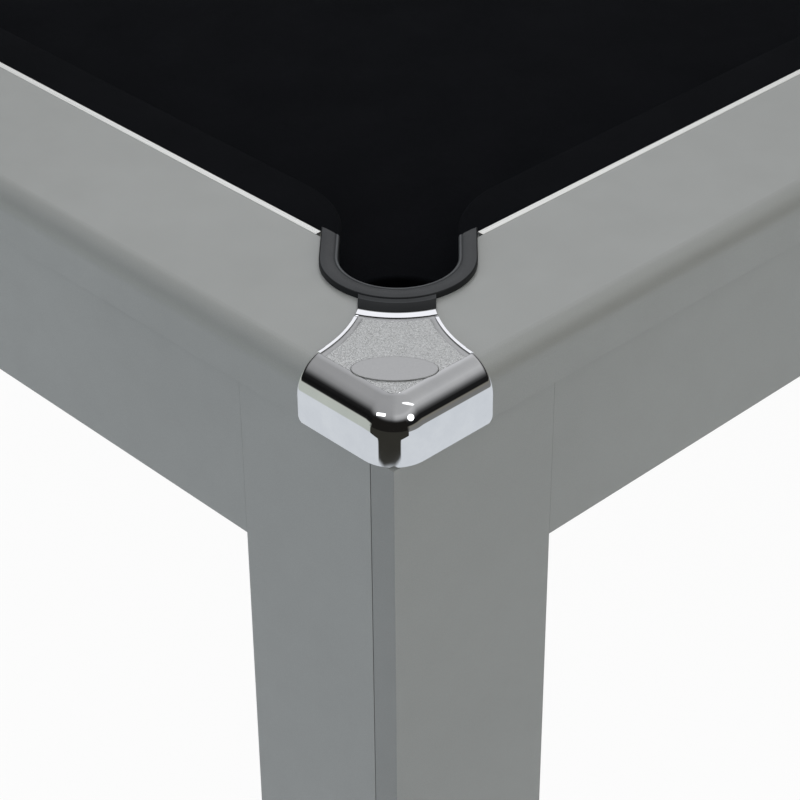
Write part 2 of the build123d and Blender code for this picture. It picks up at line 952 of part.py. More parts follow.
def make_stem():
    """Threaded stem with its lock nut just under the insert."""
    nut_top = foot_gap - insert_flange_thickness - lock_nut_gap
    with BuildPart() as stem:
        with Locations((*foot_place, pad_socket_floor)):
            Cylinder(stem_diameter / 2, stem_length, align=on_base)
    with BuildPart() as nut:
        with BuildSketch(Plane(origin=(*foot_place, nut_top - lock_nut_height))):
            RegularPolygon(lock_nut_width / 2, 6, major_radius=False)
            Circle(stem_diameter / 2 + thread_fit, mode=Mode.SUBTRACT)
        extrude(amount=lock_nut_height)
    return group([stem.part, nut.part])


def make_pad():
    with BuildPart() as pad:
        with BuildSketch(Plane(origin=(*foot_place, 0), x_dir=(1, 0, 0), z_dir=(0, -1, 0))):
            socket = stem_diameter / 2 + pad_socket_fit
            Polygon(
                (0, 0),
                (pad_diameter / 2, 0),
                (pad_diameter / 2, pad_edge),
                (pad_hub_diameter / 2, pad_height),
                (socket, pad_height),
                (socket, pad_socket_floor),
                (0, pad_socket_floor),
                align=None,
            )
        revolve(axis=Axis((*foot_place, 0), (0, 0, 1)))
    return pad.part


# Every piece as its own file

save(make_slate(), "slate_bed")
save(make_bed_cloth(), "bed_cloth")
for side_name, rail in make_rails().items():
    save(rail, f"rail_{side_name}")
for side_name, apron in make_aprons().items():
    save(apron, f"apron_{side_name}")

for place_name, cover in cushion_set(cover_section(), cover_setback).items():
    save(cover, f"cushion_cover_{place_name}")
save(group(cushion_set(rubber_section(), cover_setback).values()), "cushion_rubbers")
save(make_blocks(), "cushion_blocks")
save(make_trim_strips(), "trim_strips")

corner_edge = rail_width * sqrt(2) - corner_pocket_reach
middle_edge = rail_width - middle_pocket_setback
for place_name, pocket in corner_pockets.items():
    save(make_liner(pocket, corner_edge, 45, True), f"pocket_liner_{place_name}")
    save(make_cup(pocket), f"pocket_cup_{place_name}")
for place_name, pocket in middle_pockets.items():
    save(make_liner(pocket, middle_edge, 90, False), f"pocket_liner_{place_name}_middle")
    save(make_cup(pocket), f"pocket_cup_{place_name}_middle")
save(make_cup_screws(), "cup_screws")

corner_cap = make_cap()
for corner_name, side in corners.items():
    save(mirrored(corner_cap, *side), f"corner_cap_{corner_name}")
save(make_cap_nuts(), "cap_nuts")

face_board = make_face_board()
side_board = make_side_board()
foot_pad = make_pad()
foot_stem = make_stem()
for corner_name, side in corners.items():
    save(mirrored(face_board, *side), f"leg_{corner_name}_face_board")
    save(mirrored(side_board, *side), f"leg_{corner_name}_side_board")
    save(mirrored(foot_pad, *side), f"foot_pad_{corner_name}")
    save(mirrored(foot_stem, *side), f"foot_stem_{corner_name}")
save(group([at_all_corners(piece) for piece in make_inner_boards()]), "leg_inner_boards")
save(group([at_all_corners(piece) for piece in make_leg_blocks()]), "leg_blocks")
save(at_all_corners(make_insert()), "foot_inserts")

save(group(make_bearers()), "bearer_frame")
save(make_cross_bearers(), "cross_bearers")
save(make_rail_bolts(), "rail_bolts")
save(make_cabinet_bolts(), "cabinet_bolts")
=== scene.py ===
from math import acos, atan2, cos, hypot, pi, radians, sin, sqrt, tan

import bmesh
import bpy
from mathutils import Matrix, Quaternion, Vector, noise


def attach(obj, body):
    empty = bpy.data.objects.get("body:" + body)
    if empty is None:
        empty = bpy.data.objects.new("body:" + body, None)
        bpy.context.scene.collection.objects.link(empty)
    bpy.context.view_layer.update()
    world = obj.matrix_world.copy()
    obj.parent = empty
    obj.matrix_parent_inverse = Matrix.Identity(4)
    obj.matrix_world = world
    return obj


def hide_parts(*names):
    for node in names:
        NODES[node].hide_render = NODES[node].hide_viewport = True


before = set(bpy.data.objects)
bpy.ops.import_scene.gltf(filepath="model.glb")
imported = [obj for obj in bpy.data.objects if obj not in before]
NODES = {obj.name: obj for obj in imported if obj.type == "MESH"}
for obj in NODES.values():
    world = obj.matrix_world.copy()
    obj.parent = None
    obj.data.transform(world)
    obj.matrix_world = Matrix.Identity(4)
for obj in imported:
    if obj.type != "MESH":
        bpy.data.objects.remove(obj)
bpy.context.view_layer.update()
MM = 0.001

# Sizes of the table in millimetres, as in the part's source
PLAY_LENGTH, PLAY_WIDTH, TABLE_HEIGHT = 1830.0, 915.0, 810.0
RAIL_WIDTH, RAIL_THICKNESS, RAIL_ROUND, RAIL_CORNER = 124.2, 42.0, 17.0, 24.5
TRIM_WIDTH, TRIM_FIT = 5.4, 0.3
CUSHION_WIDTH, CUSHION_TOP, CUSHION_SHOULDER = 48.4, 40.5, 39.2
NOSE_HEIGHT, NOSE_RADIUS, RUBBER_FOOT = 32.5, 3.5, 10.0
BLOCK_WIDTH, BEARER_EDGE = 22.0, 50.0
CORNER_CORE, MIDDLE_CORE = 35.0, 10.0
POCKET_RADIUS, POCKET_REACH, MIDDLE_SETBACK = 42.5, 197.5, 115.0
LINER_WALL, LINER_FLANGE, LINER_LIFT, LINER_SKIRT = 4.5, 13.5, 5.0, 8.0
TAB_REACH, TAB_LIFT, NECK_GAP, NECK_ANGLE = 14.6, 2.5, 1.0, 22.0
HOLE_RADIUS, CLOTH_MARGIN, CLOTH = 50.0, 28.0, 1.0
SLATE = 19.0
CAP_SHELL, CAP_REACH, CAP_HOLLOW = 3.0, 90.0, 4.5
PANEL_LIP, PANEL_TIP, PANEL_RECESS, SKIRT_ROUND = 0.7, 8.0, 0.8, 5.0
OVAL_LENGTH, OVAL_WIDTH, OVAL_PLACE, OVAL_PROUD = 58.0, 29.0, 56.0, 0.4

BED_TOP = TABLE_HEIGHT - RAIL_THICKNESS
SLATE_BOTTOM = BED_TOP - CLOTH - SLATE
DEPTH = TRIM_WIDTH + CUSHION_WIDTH
NOSE = RAIL_WIDTH + DEPTH
CORNER_KNUCKLE = DEPTH + CORNER_CORE
MIDDLE_KNUCKLE = DEPTH + MIDDLE_CORE
HALF_LENGTH = PLAY_LENGTH / 2 + NOSE
HALF_WIDTH = PLAY_WIDTH / 2 + NOSE
INSET = POCKET_REACH / sqrt(2)
COVER_EDGE = RAIL_WIDTH + TRIM_WIDTH + TRIM_FIT
FLANGE = POCKET_RADIUS + LINER_FLANGE
WALL = POCKET_RADIUS + LINER_WALL
TAB = FLANGE + TAB_REACH
NECK = TAB + NECK_GAP
CAP_TOP = TABLE_HEIGHT + CAP_SHELL
PANEL = RAIL_ROUND + PANEL_LIP

CORNERS = {
    "front_left": (-1, -1),
    "front_right": (1, -1),
    "back_left": (-1, 1),
    "back_right": (1, 1),
}
ENDS = {"left": -1, "right": 1}


# Materials


class Nodes:
    """Small helper around the node tree of one material or world."""

    def __init__(self, owner, coords="Object"):
        owner.use_nodes = True
        self.owner = owner
        self.tree = owner.node_tree
        self.shader = self.tree.nodes.get("Principled BSDF")
        self.place = self.add("ShaderNodeTexCoord").outputs[coords]

    def add(self, kind, **inputs):
        node = self.tree.nodes.new(kind)
        for key, value in inputs.items():
            self.put(node, key, value)
        return node

    def put(self, node, key, value):
        """Sets or links one input; a key such as _1 counts the inputs."""
        count = key[1:]
        socket = node.inputs[int(count)] if count.isdigit() else node.inputs[key.replace("_", " ")]
        if isinstance(value, bpy.types.NodeSocket):
            self.tree.links.new(value, socket)
        else:
            socket.default_value = value

    def set(self, **inputs):
        for key, value in inputs.items():
            self.put(self.shader, key, value)

    def stretched(self, scale):
        mapping = self.add("ShaderNodeMapping", Vector=self.place)
        mapping.inputs["Scale"].default_value = scale
        return mapping.outputs["Vector"]

    def noise(self, scale, detail=4.0, rough=0.55, vector=None):
        node = self.add("ShaderNodeTexNoise", Vector=vector or self.place, Scale=scale)
        self.put(node, "Detail", detail)
        self.put(node, "Roughness", rough)
        return node.outputs["Fac"]

    def cells(self, scale, vector=None, feature="F1"):
        node = self.add("ShaderNodeTexVoronoi", Vector=vector or self.place, Scale=scale)
        node.feature = feature
        return node.outputs["Distance"]

    def ramp(self, value, *stops):
        node = self.add("ShaderNodeValToRGB", Fac=value)
        ramp = node.color_ramp
        while len(ramp.elements) < len(stops):
            ramp.elements.new(0.5)
        for element, (at, colour) in zip(ramp.elements, stops):
            element.position = at
            element.color = (*colour, 1) if isinstance(colour, tuple) else (colour, colour, colour, 1)
        return node.outputs["Color"]

    def span(self, value, low, high, to_low, to_high):
        node = self.add("ShaderNodeMapRange", Value=value)
        node.inputs["From Min"].default_value = low
        node.inputs["From Max"].default_value = high
        node.inputs["To Min"].default_value = to_low
        node.inputs["To Max"].default_value = to_high
        return node.outputs["Result"]

    def maths(self, operation, *values):
        node = self.tree.nodes.new("ShaderNodeMath")
        node.operation = operation
        for at, value in enumerate(values):
            self.put(node, f"_{at}", value)
        return node.outputs["Value"]

    def vector(self, operation, *values):
        node = self.tree.nodes.new("ShaderNodeVectorMath")
        node.operation = operation
        for at, value in enumerate(values):
            self.put(node, f"_{at}", value)
        single = operation in ("DOT_PRODUCT", "LENGTH")
        return node.outputs["Value" if single else "Vector"]

    def outside(self, reach):
        """1 where a point lies further than reach from the table's long middle line, else 0."""
        across = self.add("ShaderNodeSeparateXYZ", Vector=self.place).outputs["Y"]
        return self.maths("GREATER_THAN", self.maths("ABSOLUTE", across), reach)

    def shaders(self, factor, first, second):
        node = self.add("ShaderNodeMixShader", _0=factor, _1=first, _2=second)
        return node.outputs[0]

    def mix(self, factor, first, second, kind="MIX"):
        node = self.tree.nodes.new("ShaderNodeMix")
        node.data_type = "RGBA"
        node.blend_type = kind
        self.put(node, "_0", factor)
        for socket, value in ((node.inputs[6], first), (node.inputs[7], second)):
            if isinstance(value, bpy.types.NodeSocket):
                self.tree.links.new(value, socket)
            else:
                socket.default_value = (*value, 1)
        return node.outputs[2]

    def bump(self, height, strength, distance, normal=None):
        node = self.add("ShaderNodeBump", Height=height, Strength=strength, Distance=distance)
        if normal is not None:
            self.put(node, "Normal", normal)
        return node.outputs["Normal"]


def silver_board(name, end_tone=1.0):
    """Silver-grey wrapped board: fine metallic fleck under a satin lacquer; its ends may be duller."""
    n = Nodes(bpy.data.materials.new(name))
    fleck = n.noise(2600.0, 2.0, 0.6)
    cloud = n.noise(5.0, 3.0)
    base = n.ramp(fleck, (0.3, (0.266, 0.274, 0.275)), (0.72, (0.322, 0.331, 0.331)))
    tone = n.ramp(cloud, (0.3, 0.95), (0.7, 1.0))
    facing = n.add("ShaderNodeSeparateXYZ", Vector=n.add("ShaderNodeNewGeometry").outputs["True Normal"])
    on_end = n.maths("GREATER_THAN", n.maths("ABSOLUTE", facing.outputs["X"]), 0.7)
    tone = n.mix(1.0, tone, n.ramp(on_end, (0.0, 1.0), (1.0, end_tone)), "MULTIPLY")
    n.set(Base_Color=n.mix(1.0, base, tone, "MULTIPLY"), Metallic=0.28)
    n.set(Roughness=n.span(n.noise(40.0, 3.0), 0.3, 0.7, 0.36, 0.44))
    n.set(Normal=n.bump(fleck, 0.03, 0.0002), Coat_Weight=0.15, Coat_Roughness=0.22)
    return n.owner


def black_cloth(name):
    """Black napped worsted: fine crossed yarns, soft nap and a little lint."""
    n = Nodes(bpy.data.materials.new(name))
    nap = n.noise(900.0, 6.0, 0.7)
    blotch = n.noise(14.0, 4.0, 0.6)
    across = n.noise(1.0, 2.0, 0.5, n.stretched((2600.0, 260.0, 800.0)))
    along = n.noise(1.0, 2.0, 0.5, n.stretched((260.0, 2600.0, 800.0)))
    yarn = n.maths("ADD", across, along)
    dark = n.ramp(nap, (0.3, (0.0016, 0.0018, 0.0025)), (0.75, (0.0040, 0.0045, 0.0060)))
    dark = n.mix(n.span(blotch, 0.35, 0.7, 0.0, 0.4), dark, (0.0050, 0.0054, 0.0070))
    speck = n.cells(150.0)
    sparse = n.span(n.noise(37.0, 2.0), 0.56, 0.66, 0.0, 0.35)
    lint = n.maths("MULTIPLY", n.span(speck, 0.0, 0.07, 1.0, 0.0), sparse)
    n.set(Base_Color=n.mix(lint, dark, (0.06, 0.06, 0.065)))
    n.set(Roughness=0.95, Sheen_Weight=0.018, Sheen_Roughness=0.4, Specular_IOR_Level=0.04)
    n.shader.inputs["Sheen Tint"].default_value = (0.55, 0.58, 0.66, 1)
    n.set(Normal=n.bump(nap, 0.35, 0.0004, n.bump(yarn, 0.5, 0.0004)))
    return n.owner


def chrome(name):
    """Polished chrome with faint handling marks."""
    n = Nodes(bpy.data.materials.new(name))
    smear = n.noise(60.0, 5.0, 0.6)
    tint = n.ramp(smear, (0.3, (0.80, 0.81, 0.835)), (0.7, (0.86, 0.868, 0.885)))
    n.set(Base_Color=tint, Metallic=1.0, Roughness=n.span(smear, 0.35, 0.75, 0.015, 0.04))
    n.set(Normal=n.bump(n.noise(18.0, 2.0), 0.015, 0.0012))
    return n.owner


def pebbled(name):
    """Sand-cast chrome panel: paler base colour on the grains as painted highlight, darker between them as
    painted shade.
    """
    n = Nodes(bpy.data.materials.new(name))
    grain = n.cells(1150.0, feature="SMOOTH_F1")
    fine = n.noise(2400.0, 3.0, 0.6)
    rough = n.span(grain, 0.1, 0.6, 0.30, 0.46)
    # Painted highlight on the grains' middles, painted shade towards their edges
    tone = n.ramp(grain, (0.05, (0.86, 0.87, 0.885)), (0.65, (0.46, 0.467, 0.48)))
    tone = n.mix(n.span(fine, 0.35, 0.65, 0.0, 0.4), tone, (0.34, 0.345, 0.355))
    n.set(Base_Color=tone, Metallic=0.62, Roughness=rough)
    n.set(Normal=n.bump(fine, 0.25, 0.0002, n.bump(grain, 0.6, 0.0006)))
    return n.owner


def satin(name):
    """Satin chrome of the bare oval."""
    n = Nodes(bpy.data.materials.new(name))
    haze = n.noise(420.0, 4.0, 0.6)
    n.set(Base_Color=n.ramp(haze, (0.3, (0.42, 0.425, 0.43)), (0.7, (0.48, 0.485, 0.49))), Metallic=0.9)
    n.set(Roughness=n.span(haze, 0.3, 0.7, 0.30, 0.38), Normal=n.bump(haze, 0.04, 0.0002))
    return n.owner


def liner_rubber(name, tone=1.0):
    """Moulded black rubber with a dull bloom; the tone makes darker and paler copies that paint shade and
    highlight.
    """
    n = Nodes(bpy.data.materials.new(name))
    bloom = n.noise(30.0, 4.0)
    grain = n.noise(1500.0, 3.0)
    low, high = 0.018 * tone, 0.028 * tone
    base = n.ramp(bloom, (0.3, (low, 1.09 * low, 1.27 * low)), (0.75, (high, 1.09 * high, 1.24 * high)))
    n.set(Base_Color=base, Roughness=n.span(grain, 0.3, 0.7, 0.40, 0.54), Specular_IOR_Level=0.5 * tone)
    n.set(Normal=n.bump(grain, 0.12, 0.0003))
    return n.owner


def bright_trim(name):
    """Bright brushed strip; the brushing runs along each strip."""
    n = Nodes(bpy.data.materials.new(name))
    along_x = n.noise(1.0, 3.0, 0.6, n.stretched((14.0, 5200.0, 5200.0)))
    along_y = n.noise(1.0, 3.0, 0.6, n.stretched((5200.0, 14.0, 5200.0)))
    lines = n.mix(n.outside((HALF_WIDTH - 1.5 * RAIL_WIDTH) * MM), along_y, along_x)
    n.set(Base_Color=n.ramp(lines, (0.3, (0.66, 0.665, 0.66)), (0.7, (0.74, 0.745, 0.735))), Metallic=0.55)
    n.set(Roughness=n.span(lines, 0.3, 0.7, 0.24, 0.36), Normal=n.bump(lines, 0.08, 0.0002))
    return n.owner


def timber(name, along):
    """Planed softwood; the grain runs along the given axis, or along each board of a frame."""
    n = Nodes(bpy.data.materials.new(name))

    def grain(scale):
        vector = n.stretched(scale)
        wander = n.noise(1.2, 3.0, 0.5, vector)
        node = n.add("ShaderNodeTexWave", Vector=vector, Scale=1.1, Distortion=5.0, Detail=3.0)
        node.inputs["Detail Scale"].default_value = 1.4
        return n.maths("ADD", n.maths("MULTIPLY", node.outputs["Fac"], 0.6), n.maths("MULTIPLY", wander, 0.4))

    by_axis = {"x": (1.4, 30.0, 30.0), "y": (30.0, 1.4, 30.0), "z": (30.0, 30.0, 1.4)}
    if along == "frame":
        on_side = n.outside((HALF_WIDTH - BEARER_EDGE) * MM)
        rings = n.mix(on_side, grain(by_axis["y"]), grain(by_axis["x"]))
    else:
        rings = grain(by_axis[along])
    tone = n.ramp(rings, (0.2, (0.50, 0.33, 0.17)), (0.5, (0.62, 0.44, 0.25)), (0.8, (0.42, 0.26, 0.13)))
    n.set(Base_Color=tone)
    n.set(Roughness=n.span(rings, 0.2, 0.8, 0.55, 0.72), Normal=n.bump(rings, 0.2, 0.0004))
    return n.owner


def slate_stone(name):
    """Clouded grey slate with a fine grit."""
    n = Nodes(bpy.data.materials.new(name))
    cloud = n.noise(9.0, 6.0, 0.6)
    grit = n.noise(420.0, 4.0, 0.7)
    base = n.ramp(cloud, (0.25, (0.050, 0.056, 0.066)), (0.75, (0.098, 0.106, 0.118)))
    n.set(Base_Color=n.mix(n.span(grit, 0.4, 0.7, 0.0, 0.35), base, (0.14, 0.15, 0.16)))
    n.set(Roughness=n.span(cloud, 0.3, 0.7, 0.55, 0.75), Normal=n.bump(grit, 0.3, 0.0006))
    return n.owner


def zinc_steel(name):
    """Zinc-plated steel with a spangle and light scuffs."""
    n = Nodes(bpy.data.materials.new(name))
    spangle = n.cells(320.0)
    scuff = n.noise(240.0, 4.0)
    n.set(Base_Color=n.ramp(spangle, (0.1, (0.48, 0.49, 0.50)), (0.7, (0.66, 0.67, 0.68))), Metallic=1.0)
    n.set(Roughness=n.span(scuff, 0.3, 0.7, 0.26, 0.44), Normal=n.bump(scuff, 0.1, 0.0003))
    return n.owner


def moulded_black(name, low, high, grain_scale):
    """Black moulding with a fine grain, between two tones."""
    n = Nodes(bpy.data.materials.new(name))
    grain = n.noise(grain_scale, 3.0)
    cloud = n.noise(12.0, 3.0)
    n.set(Base_Color=n.ramp(cloud, (0.3, (low, low, low * 1.08)), (0.7, (high, high, high * 1.08))))
    n.set(Roughness=n.span(grain, 0.3, 0.7, 0.42, 0.6), Normal=n.bump(grain, 0.2, 0.0004))
    return n.owner


def gum_rubber(name):
    """Brown gum rubber of the cushion strips."""
    n = Nodes(bpy.data.materials.new(name))
    cloud = n.noise(25.0, 4.0)
    n.set(Base_Color=n.ramp(cloud, (0.3, (0.16, 0.075, 0.03)), (0.7, (0.24, 0.12, 0.05))))
    n.set(Roughness=n.span(cloud, 0.3, 0.7, 0.5, 0.7), Normal=n.bump(n.noise(600.0, 2.0), 0.15, 0.0004))
    return n.owner


SILVER = silver_board("silver_board")
SILVER_ENDS = silver_board("silver_board_ends", 0.80)
BLACK_CLOTH = black_cloth("black_cloth")
CHROME = chrome("polished_chrome")
PEBBLED = pebbled("pebbled_chrome")
SATIN = satin("satin_chrome")
LINER = liner_rubber("liner_rubber")
# Darker copy of the rubber: painted shade on the flange's outer side and on the tab's flat part
LINER_PAINTED_SHADE = liner_rubber("liner_rubber_painted_shade", 0.45)
# Paler copy of the rubber: painted highlight on the flange's rounded inner lip
LINER_PAINTED_HIGHLIGHT = liner_rubber("liner_rubber_painted_highlight", 1.7)
TRIM = bright_trim("bright_trim")
TIMBER_FRAME = timber("timber_frame", "frame")
TIMBER_ACROSS = timber("timber_across", "y")
TIMBER_UP = timber("timber_up", "z")
STONE = slate_stone("slate_stone")
ZINC = zinc_steel("zinc_steel")
CUP_PLASTIC = moulded_black("cup_plastic", 0.012, 0.022, 900.0)
PAD_RUBBER = moulded_black("pad_rubber", 0.014, 0.03, 500.0)
GUM = gum_rubber("gum_rubber")


def dress(node, material):
    """Gives a CAD node its procedural material."""
    mesh = NODES[node].data
    mesh.materials.clear()
    mesh.materials.append(material)


def dress_all():
    """Gives every CAD node the material that the start of its name calls for."""
    starts = {
        "rail_bolts": ZINC, "cabinet_bolts": ZINC, "cap_nuts": ZINC, "cup_screws": ZINC,
        "foot_inserts": ZINC, "foot_stem": ZINC, "foot_pad": PAD_RUBBER, "rail_": SILVER,
        "apron_": SILVER, "leg_blocks": TIMBER_UP, "leg_": SILVER, "slate_bed": STONE,
        "bed_cloth": BLACK_CLOTH, "cushion_cover": BLACK_CLOTH, "cushion_rubbers": GUM,
        "cushion_blocks": TIMBER_FRAME, "bearer_frame": TIMBER_FRAME, "cross_bearers": TIMBER_ACROSS,
        "trim_strips": TRIM, "pocket_liner": LINER, "pocket_cup": CUP_PLASTIC, "corner_cap": CHROME,
    }
    for node in NODES:
        for start, material in starts.items():
            if node.startswith(start):
                dress(node, SILVER_ENDS if node.endswith("face_board") else material)
                break


dress_all()


# Mesh helpers


def piece(name, points, faces, materials, node, face_materials=None, crease=40.0):
    """Makes one visible piece from points in millimetres; it stands for a CAD node."""
    mesh = bpy.data.meshes.new(name)
    mesh.from_pydata([Vector(point) * MM for point in points], [], faces)
    for material in materials:
        mesh.materials.append(material)
    if face_materials:
        mesh.polygons.foreach_set("material_index", face_materials)
    work = bmesh.new()
    work.from_mesh(mesh)
    bmesh.ops.recalc_face_normals(work, faces=work.faces)
    work.to_mesh(mesh)
    work.free()
    mesh.shade_smooth()
    mesh.set_sharp_from_angle(angle=radians(crease))
    obj = bpy.data.objects.new(name, mesh)
    bpy.context.scene.collection.objects.link(obj)
    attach(obj, "table")
    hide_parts(node)
    return obj


def grid_faces(rows, columns, offset=0, close_rows=False, close_columns=False):
    """Quads over a grid stored row by row."""
    faces = []
    for row in range(rows if close_rows else rows - 1):
        below = (row + 1) % rows
        for column in range(columns if close_columns else columns - 1):
            right = (column + 1) % columns
            faces.append(
                (
                    offset + row * columns + column,
                    offset + row * columns + right,
                    offset + below * columns + right,
                    offset + below * columns + column,
                )
            )
    return faces


def spread(first, last, steps):
    """Evenly spaced values, both ends included."""
    return [first + (last - first) * step / steps for step in range(steps + 1)]


def at_corner(along, across, up, side):
    """World point for distances in from the two outer faces that meet at a corner."""
    return (side[0] * (HALF_LENGTH - along), side[1] * (HALF_WIDTH - across), up)


# Cushions: cloth drawn tight over the rubber, carried along the nose line

CLOTH_CROWN = 0.35
TIGHT_ROOM, LEAST_ROOM = 12.0, 0.4
END_GAP = 0.05
MITRE = 45.0


def nose_section(room):
    """Closed section as (distance in from the nose, height over the bed), for the depth there is."""
    depth = NOSE - COVER_EDGE
    centre = (NOSE_RADIUS, NOSE_HEIGHT)
    shoulder = (DEPTH - BLOCK_WIDTH, CUSHION_SHOULDER)
    foot = (DEPTH - BLOCK_WIDTH - CLOTH, RUBBER_FOOT - CLOTH)

    def touch(point, side):
        across, up = point[0] - centre[0], point[1] - centre[1]
        return atan2(up, across) + side * acos(NOSE_RADIUS / hypot(across, up))

    upper, lower = touch(shoulder, 1), touch(foot, -1)
    start = (centre[0] + NOSE_RADIUS * cos(upper), centre[1] + NOSE_RADIUS * sin(upper))

    def top(distance):
        if distance < shoulder[0]:
            share = (distance - start[0]) / (shoulder[0] - start[0])
            line = start[1] + share * (shoulder[1] - start[1])
        else:
            share = (distance - shoulder[0]) / (depth - shoulder[0])
            line = shoulder[1] + share * (CUSHION_TOP - shoulder[1])
        return line + CLOTH_CROWN * sin(pi * min(1.0, distance / depth))

    tight = min(1.0, room / TIGHT_ROOM)
    reach = max(room, LEAST_ROOM)
    points = []
    for angle in spread(2 * pi + lower, upper, 9):
        points.append((tight * (centre[0] + NOSE_RADIUS * cos(angle)), centre[1] + NOSE_RADIUS * sin(angle)))
    first = max(points[-1][0], 0.1 * reach)
    for distance in spread(first, reach, 12)[1:]:
        points.append((distance, max(top(distance), points[-1][1])))
    heel = min(foot[0], 0.9 * reach)
    return points + [(reach, 0.0), (heel, 0.0), (heel, foot[1])]


def knuckle(radius, turn, steps):
    """Arc from the nose line into a pocket: (along, in from the nose, angle)."""
    return [(radius * sin(a), radius * (1 - cos(a)), a) for a in spread(0.0, turn, steps)]


def corner_stations(steps=22, tail_steps=8):
    """From the nose line into a corner pocket: along is measured towards the corner."""
    arc = knuckle(CORNER_KNUCKLE, radians(MITRE), steps)
    along, inwards, angle = arc[-1]
    run = NOSE - COVER_EDGE - inwards - END_GAP
    tail = [(along + part * run, inwards + part * run, angle) for part in spread(0.0, 1.0, tail_steps)[1:]]
    return arc + tail


def middle_stations(steps=34):
    """From the nose line into a middle pocket."""
    stop = acos(1 - (NOSE - COVER_EDGE - END_GAP) / MIDDLE_KNUCKLE)
    return knuckle(MIDDLE_KNUCKLE, stop, steps)


def station_ring(place, inwards, angle, lean):
    """Section ring at one station, as (along, depth from the outer face, height)."""
    room = (NOSE - inwards - COVER_EDGE) / cos(angle)
    ring = []
    for distance, height in nose_section(room):
        along = place - lean * distance * sin(angle)
        ring.append((along, NOSE - inwards - distance * cos(angle), height))
    return ring


def cushion(name, rings, to_world):
    """One cushion's cloth, from its section rings."""
    columns = len(rings[0])
    points = [to_world(*point) for ring in rings for point in ring]
    faces = grid_faces(len(rings), columns, close_columns=True)
    faces.append(tuple(range(columns)))
    faces.append(tuple(len(points) - columns + at for at in range(columns)))
    node = f"cushion_cover_{name}"
    obj = piece(f"cushion_cloth_{name}", points, faces, [BLACK_CLOTH], node, crease=50.0)


def on_long_side(side):
    """Places a ring's points on the half of a long side that ends at one corner."""
    return lambda along, depth, up: (side[0] * along, side[1] * (HALF_WIDTH - depth), BED_TOP + up)


def on_end(end):
    """Places a ring's points on one short end."""
    return lambda along, depth, up: (end * (HALF_LENGTH - depth), along, BED_TOP + up)


def make_cushions(straight_steps=60):
    corner_start = NOSE + POCKET_RADIUS * sqrt(2) + CORNER_KNUCKLE * tan(radians(MITRE / 2))
    middle_start = POCKET_RADIUS + MIDDLE_KNUCKLE
    long_corner = HALF_LENGTH - corner_start
    rings = []
    for along, inwards, angle in reversed(middle_stations()):
        rings.append(station_ring(middle_start - along, inwards, angle, -1))
    for place in spread(middle_start, long_corner, straight_steps)[1:-1]:
        rings.append(station_ring(place, 0.0, 0.0, 1))
    for along, inwards, angle in corner_stations():
        rings.append(station_ring(long_corner + along, inwards, angle, 1))
    for name, side in CORNERS.items():
        cushion(name, rings, on_long_side(side))
    end_corner = HALF_WIDTH - corner_start
    half = []
    for along, inwards, angle in corner_stations():
        half.append(station_ring(end_corner + along, inwards, angle, 1))
    places = spread(-end_corner, end_corner, straight_steps)[1:-1]
    straight = [station_ring(place, 0.0, 0.0, 1) for place in places]
    mirrored = [[(-along, depth, up) for along, depth, up in ring] for ring in reversed(half)]
    for name, end in ENDS.items():
        cushion(name, mirrored + straight + half, on_end(end))


make_cushions()


# Bed cloth: one sheet stretched over the slate and turned down into the pockets

CLOTH_BEND, CLOTH_TURN_DOWN = 3.0, 15.0
CLOTH_EDGE = RAIL_WIDTH - CLOTH_MARGIN
CLOTH_LIMIT = (HALF_LENGTH - CLOTH_EDGE, HALF_WIDTH - CLOTH_EDGE)


def pocket_frames():
    """Centre and mouth direction of each pocket, counter-clockwise from the front left."""
    def corner(sx, sy):
        return ((sx * (HALF_LENGTH - INSET), sy * (HALF_WIDTH - INSET)), (-sx / sqrt(2), -sy / sqrt(2)))

    def middle(sy):
        return ((0.0, sy * (HALF_WIDTH - MIDDLE_SETBACK)), (0.0, -sy))

    return [corner(-1, -1), middle(-1), corner(1, -1), corner(1, 1), middle(1), corner(-1, 1)]


def run_to_edge(origin, mouth):
    """Point on the cloth's edge that lies straight behind origin, away from the pocket's mouth."""
    ways = []
    for axis in (0, 1):
        if abs(mouth[axis]) > 1e-6:
            edge = CLOTH_LIMIT[axis] if mouth[axis] < 0 else -CLOTH_LIMIT[axis]
            ways.append((edge - origin[axis]) / -mouth[axis])
    way = max(0.0, min(ways))
    return (origin[0] - way * mouth[0], origin[1] - way * mouth[1], BED_TOP)


def cloth_shape(steps=40):
    """Points of the cloth, the faces turned down into the pockets and the outline of its flat part."""
    bend = CLOTH_BEND
    profile = [(bend * (1 - sin(a)), bend * (1 - cos(a))) for a in spread(0.0, pi / 2, 5)]
    profile.append((0.0, CLOTH_TURN_DOWN))
    inside = HOLE_RADIUS - CLOTH
    points, lips, outline = [], [], []
    for (x, y), mouth in pocket_frames():
        heading = atan2(mouth[1], mouth[0])
        start = len(points)
        for in_by, down in profile:
            radius = inside + in_by
            for angle in spread(heading + pi / 2, heading - pi / 2, steps):
                points.append((x + radius * cos(angle), y + radius * sin(angle), BED_TOP - down))
        lips += grid_faces(len(profile), steps + 1, start)
        radius = inside + bend
        aside = (radius * cos(heading + pi / 2), radius * sin(heading + pi / 2))
        outline.append(len(points))
        points.append(run_to_edge((x + aside[0], y + aside[1]), mouth))
        outline += list(range(start, start + steps + 1))
        outline.append(len(points))
        points.append(run_to_edge((x - aside[0], y - aside[1]), mouth))
    return points, lips, outline


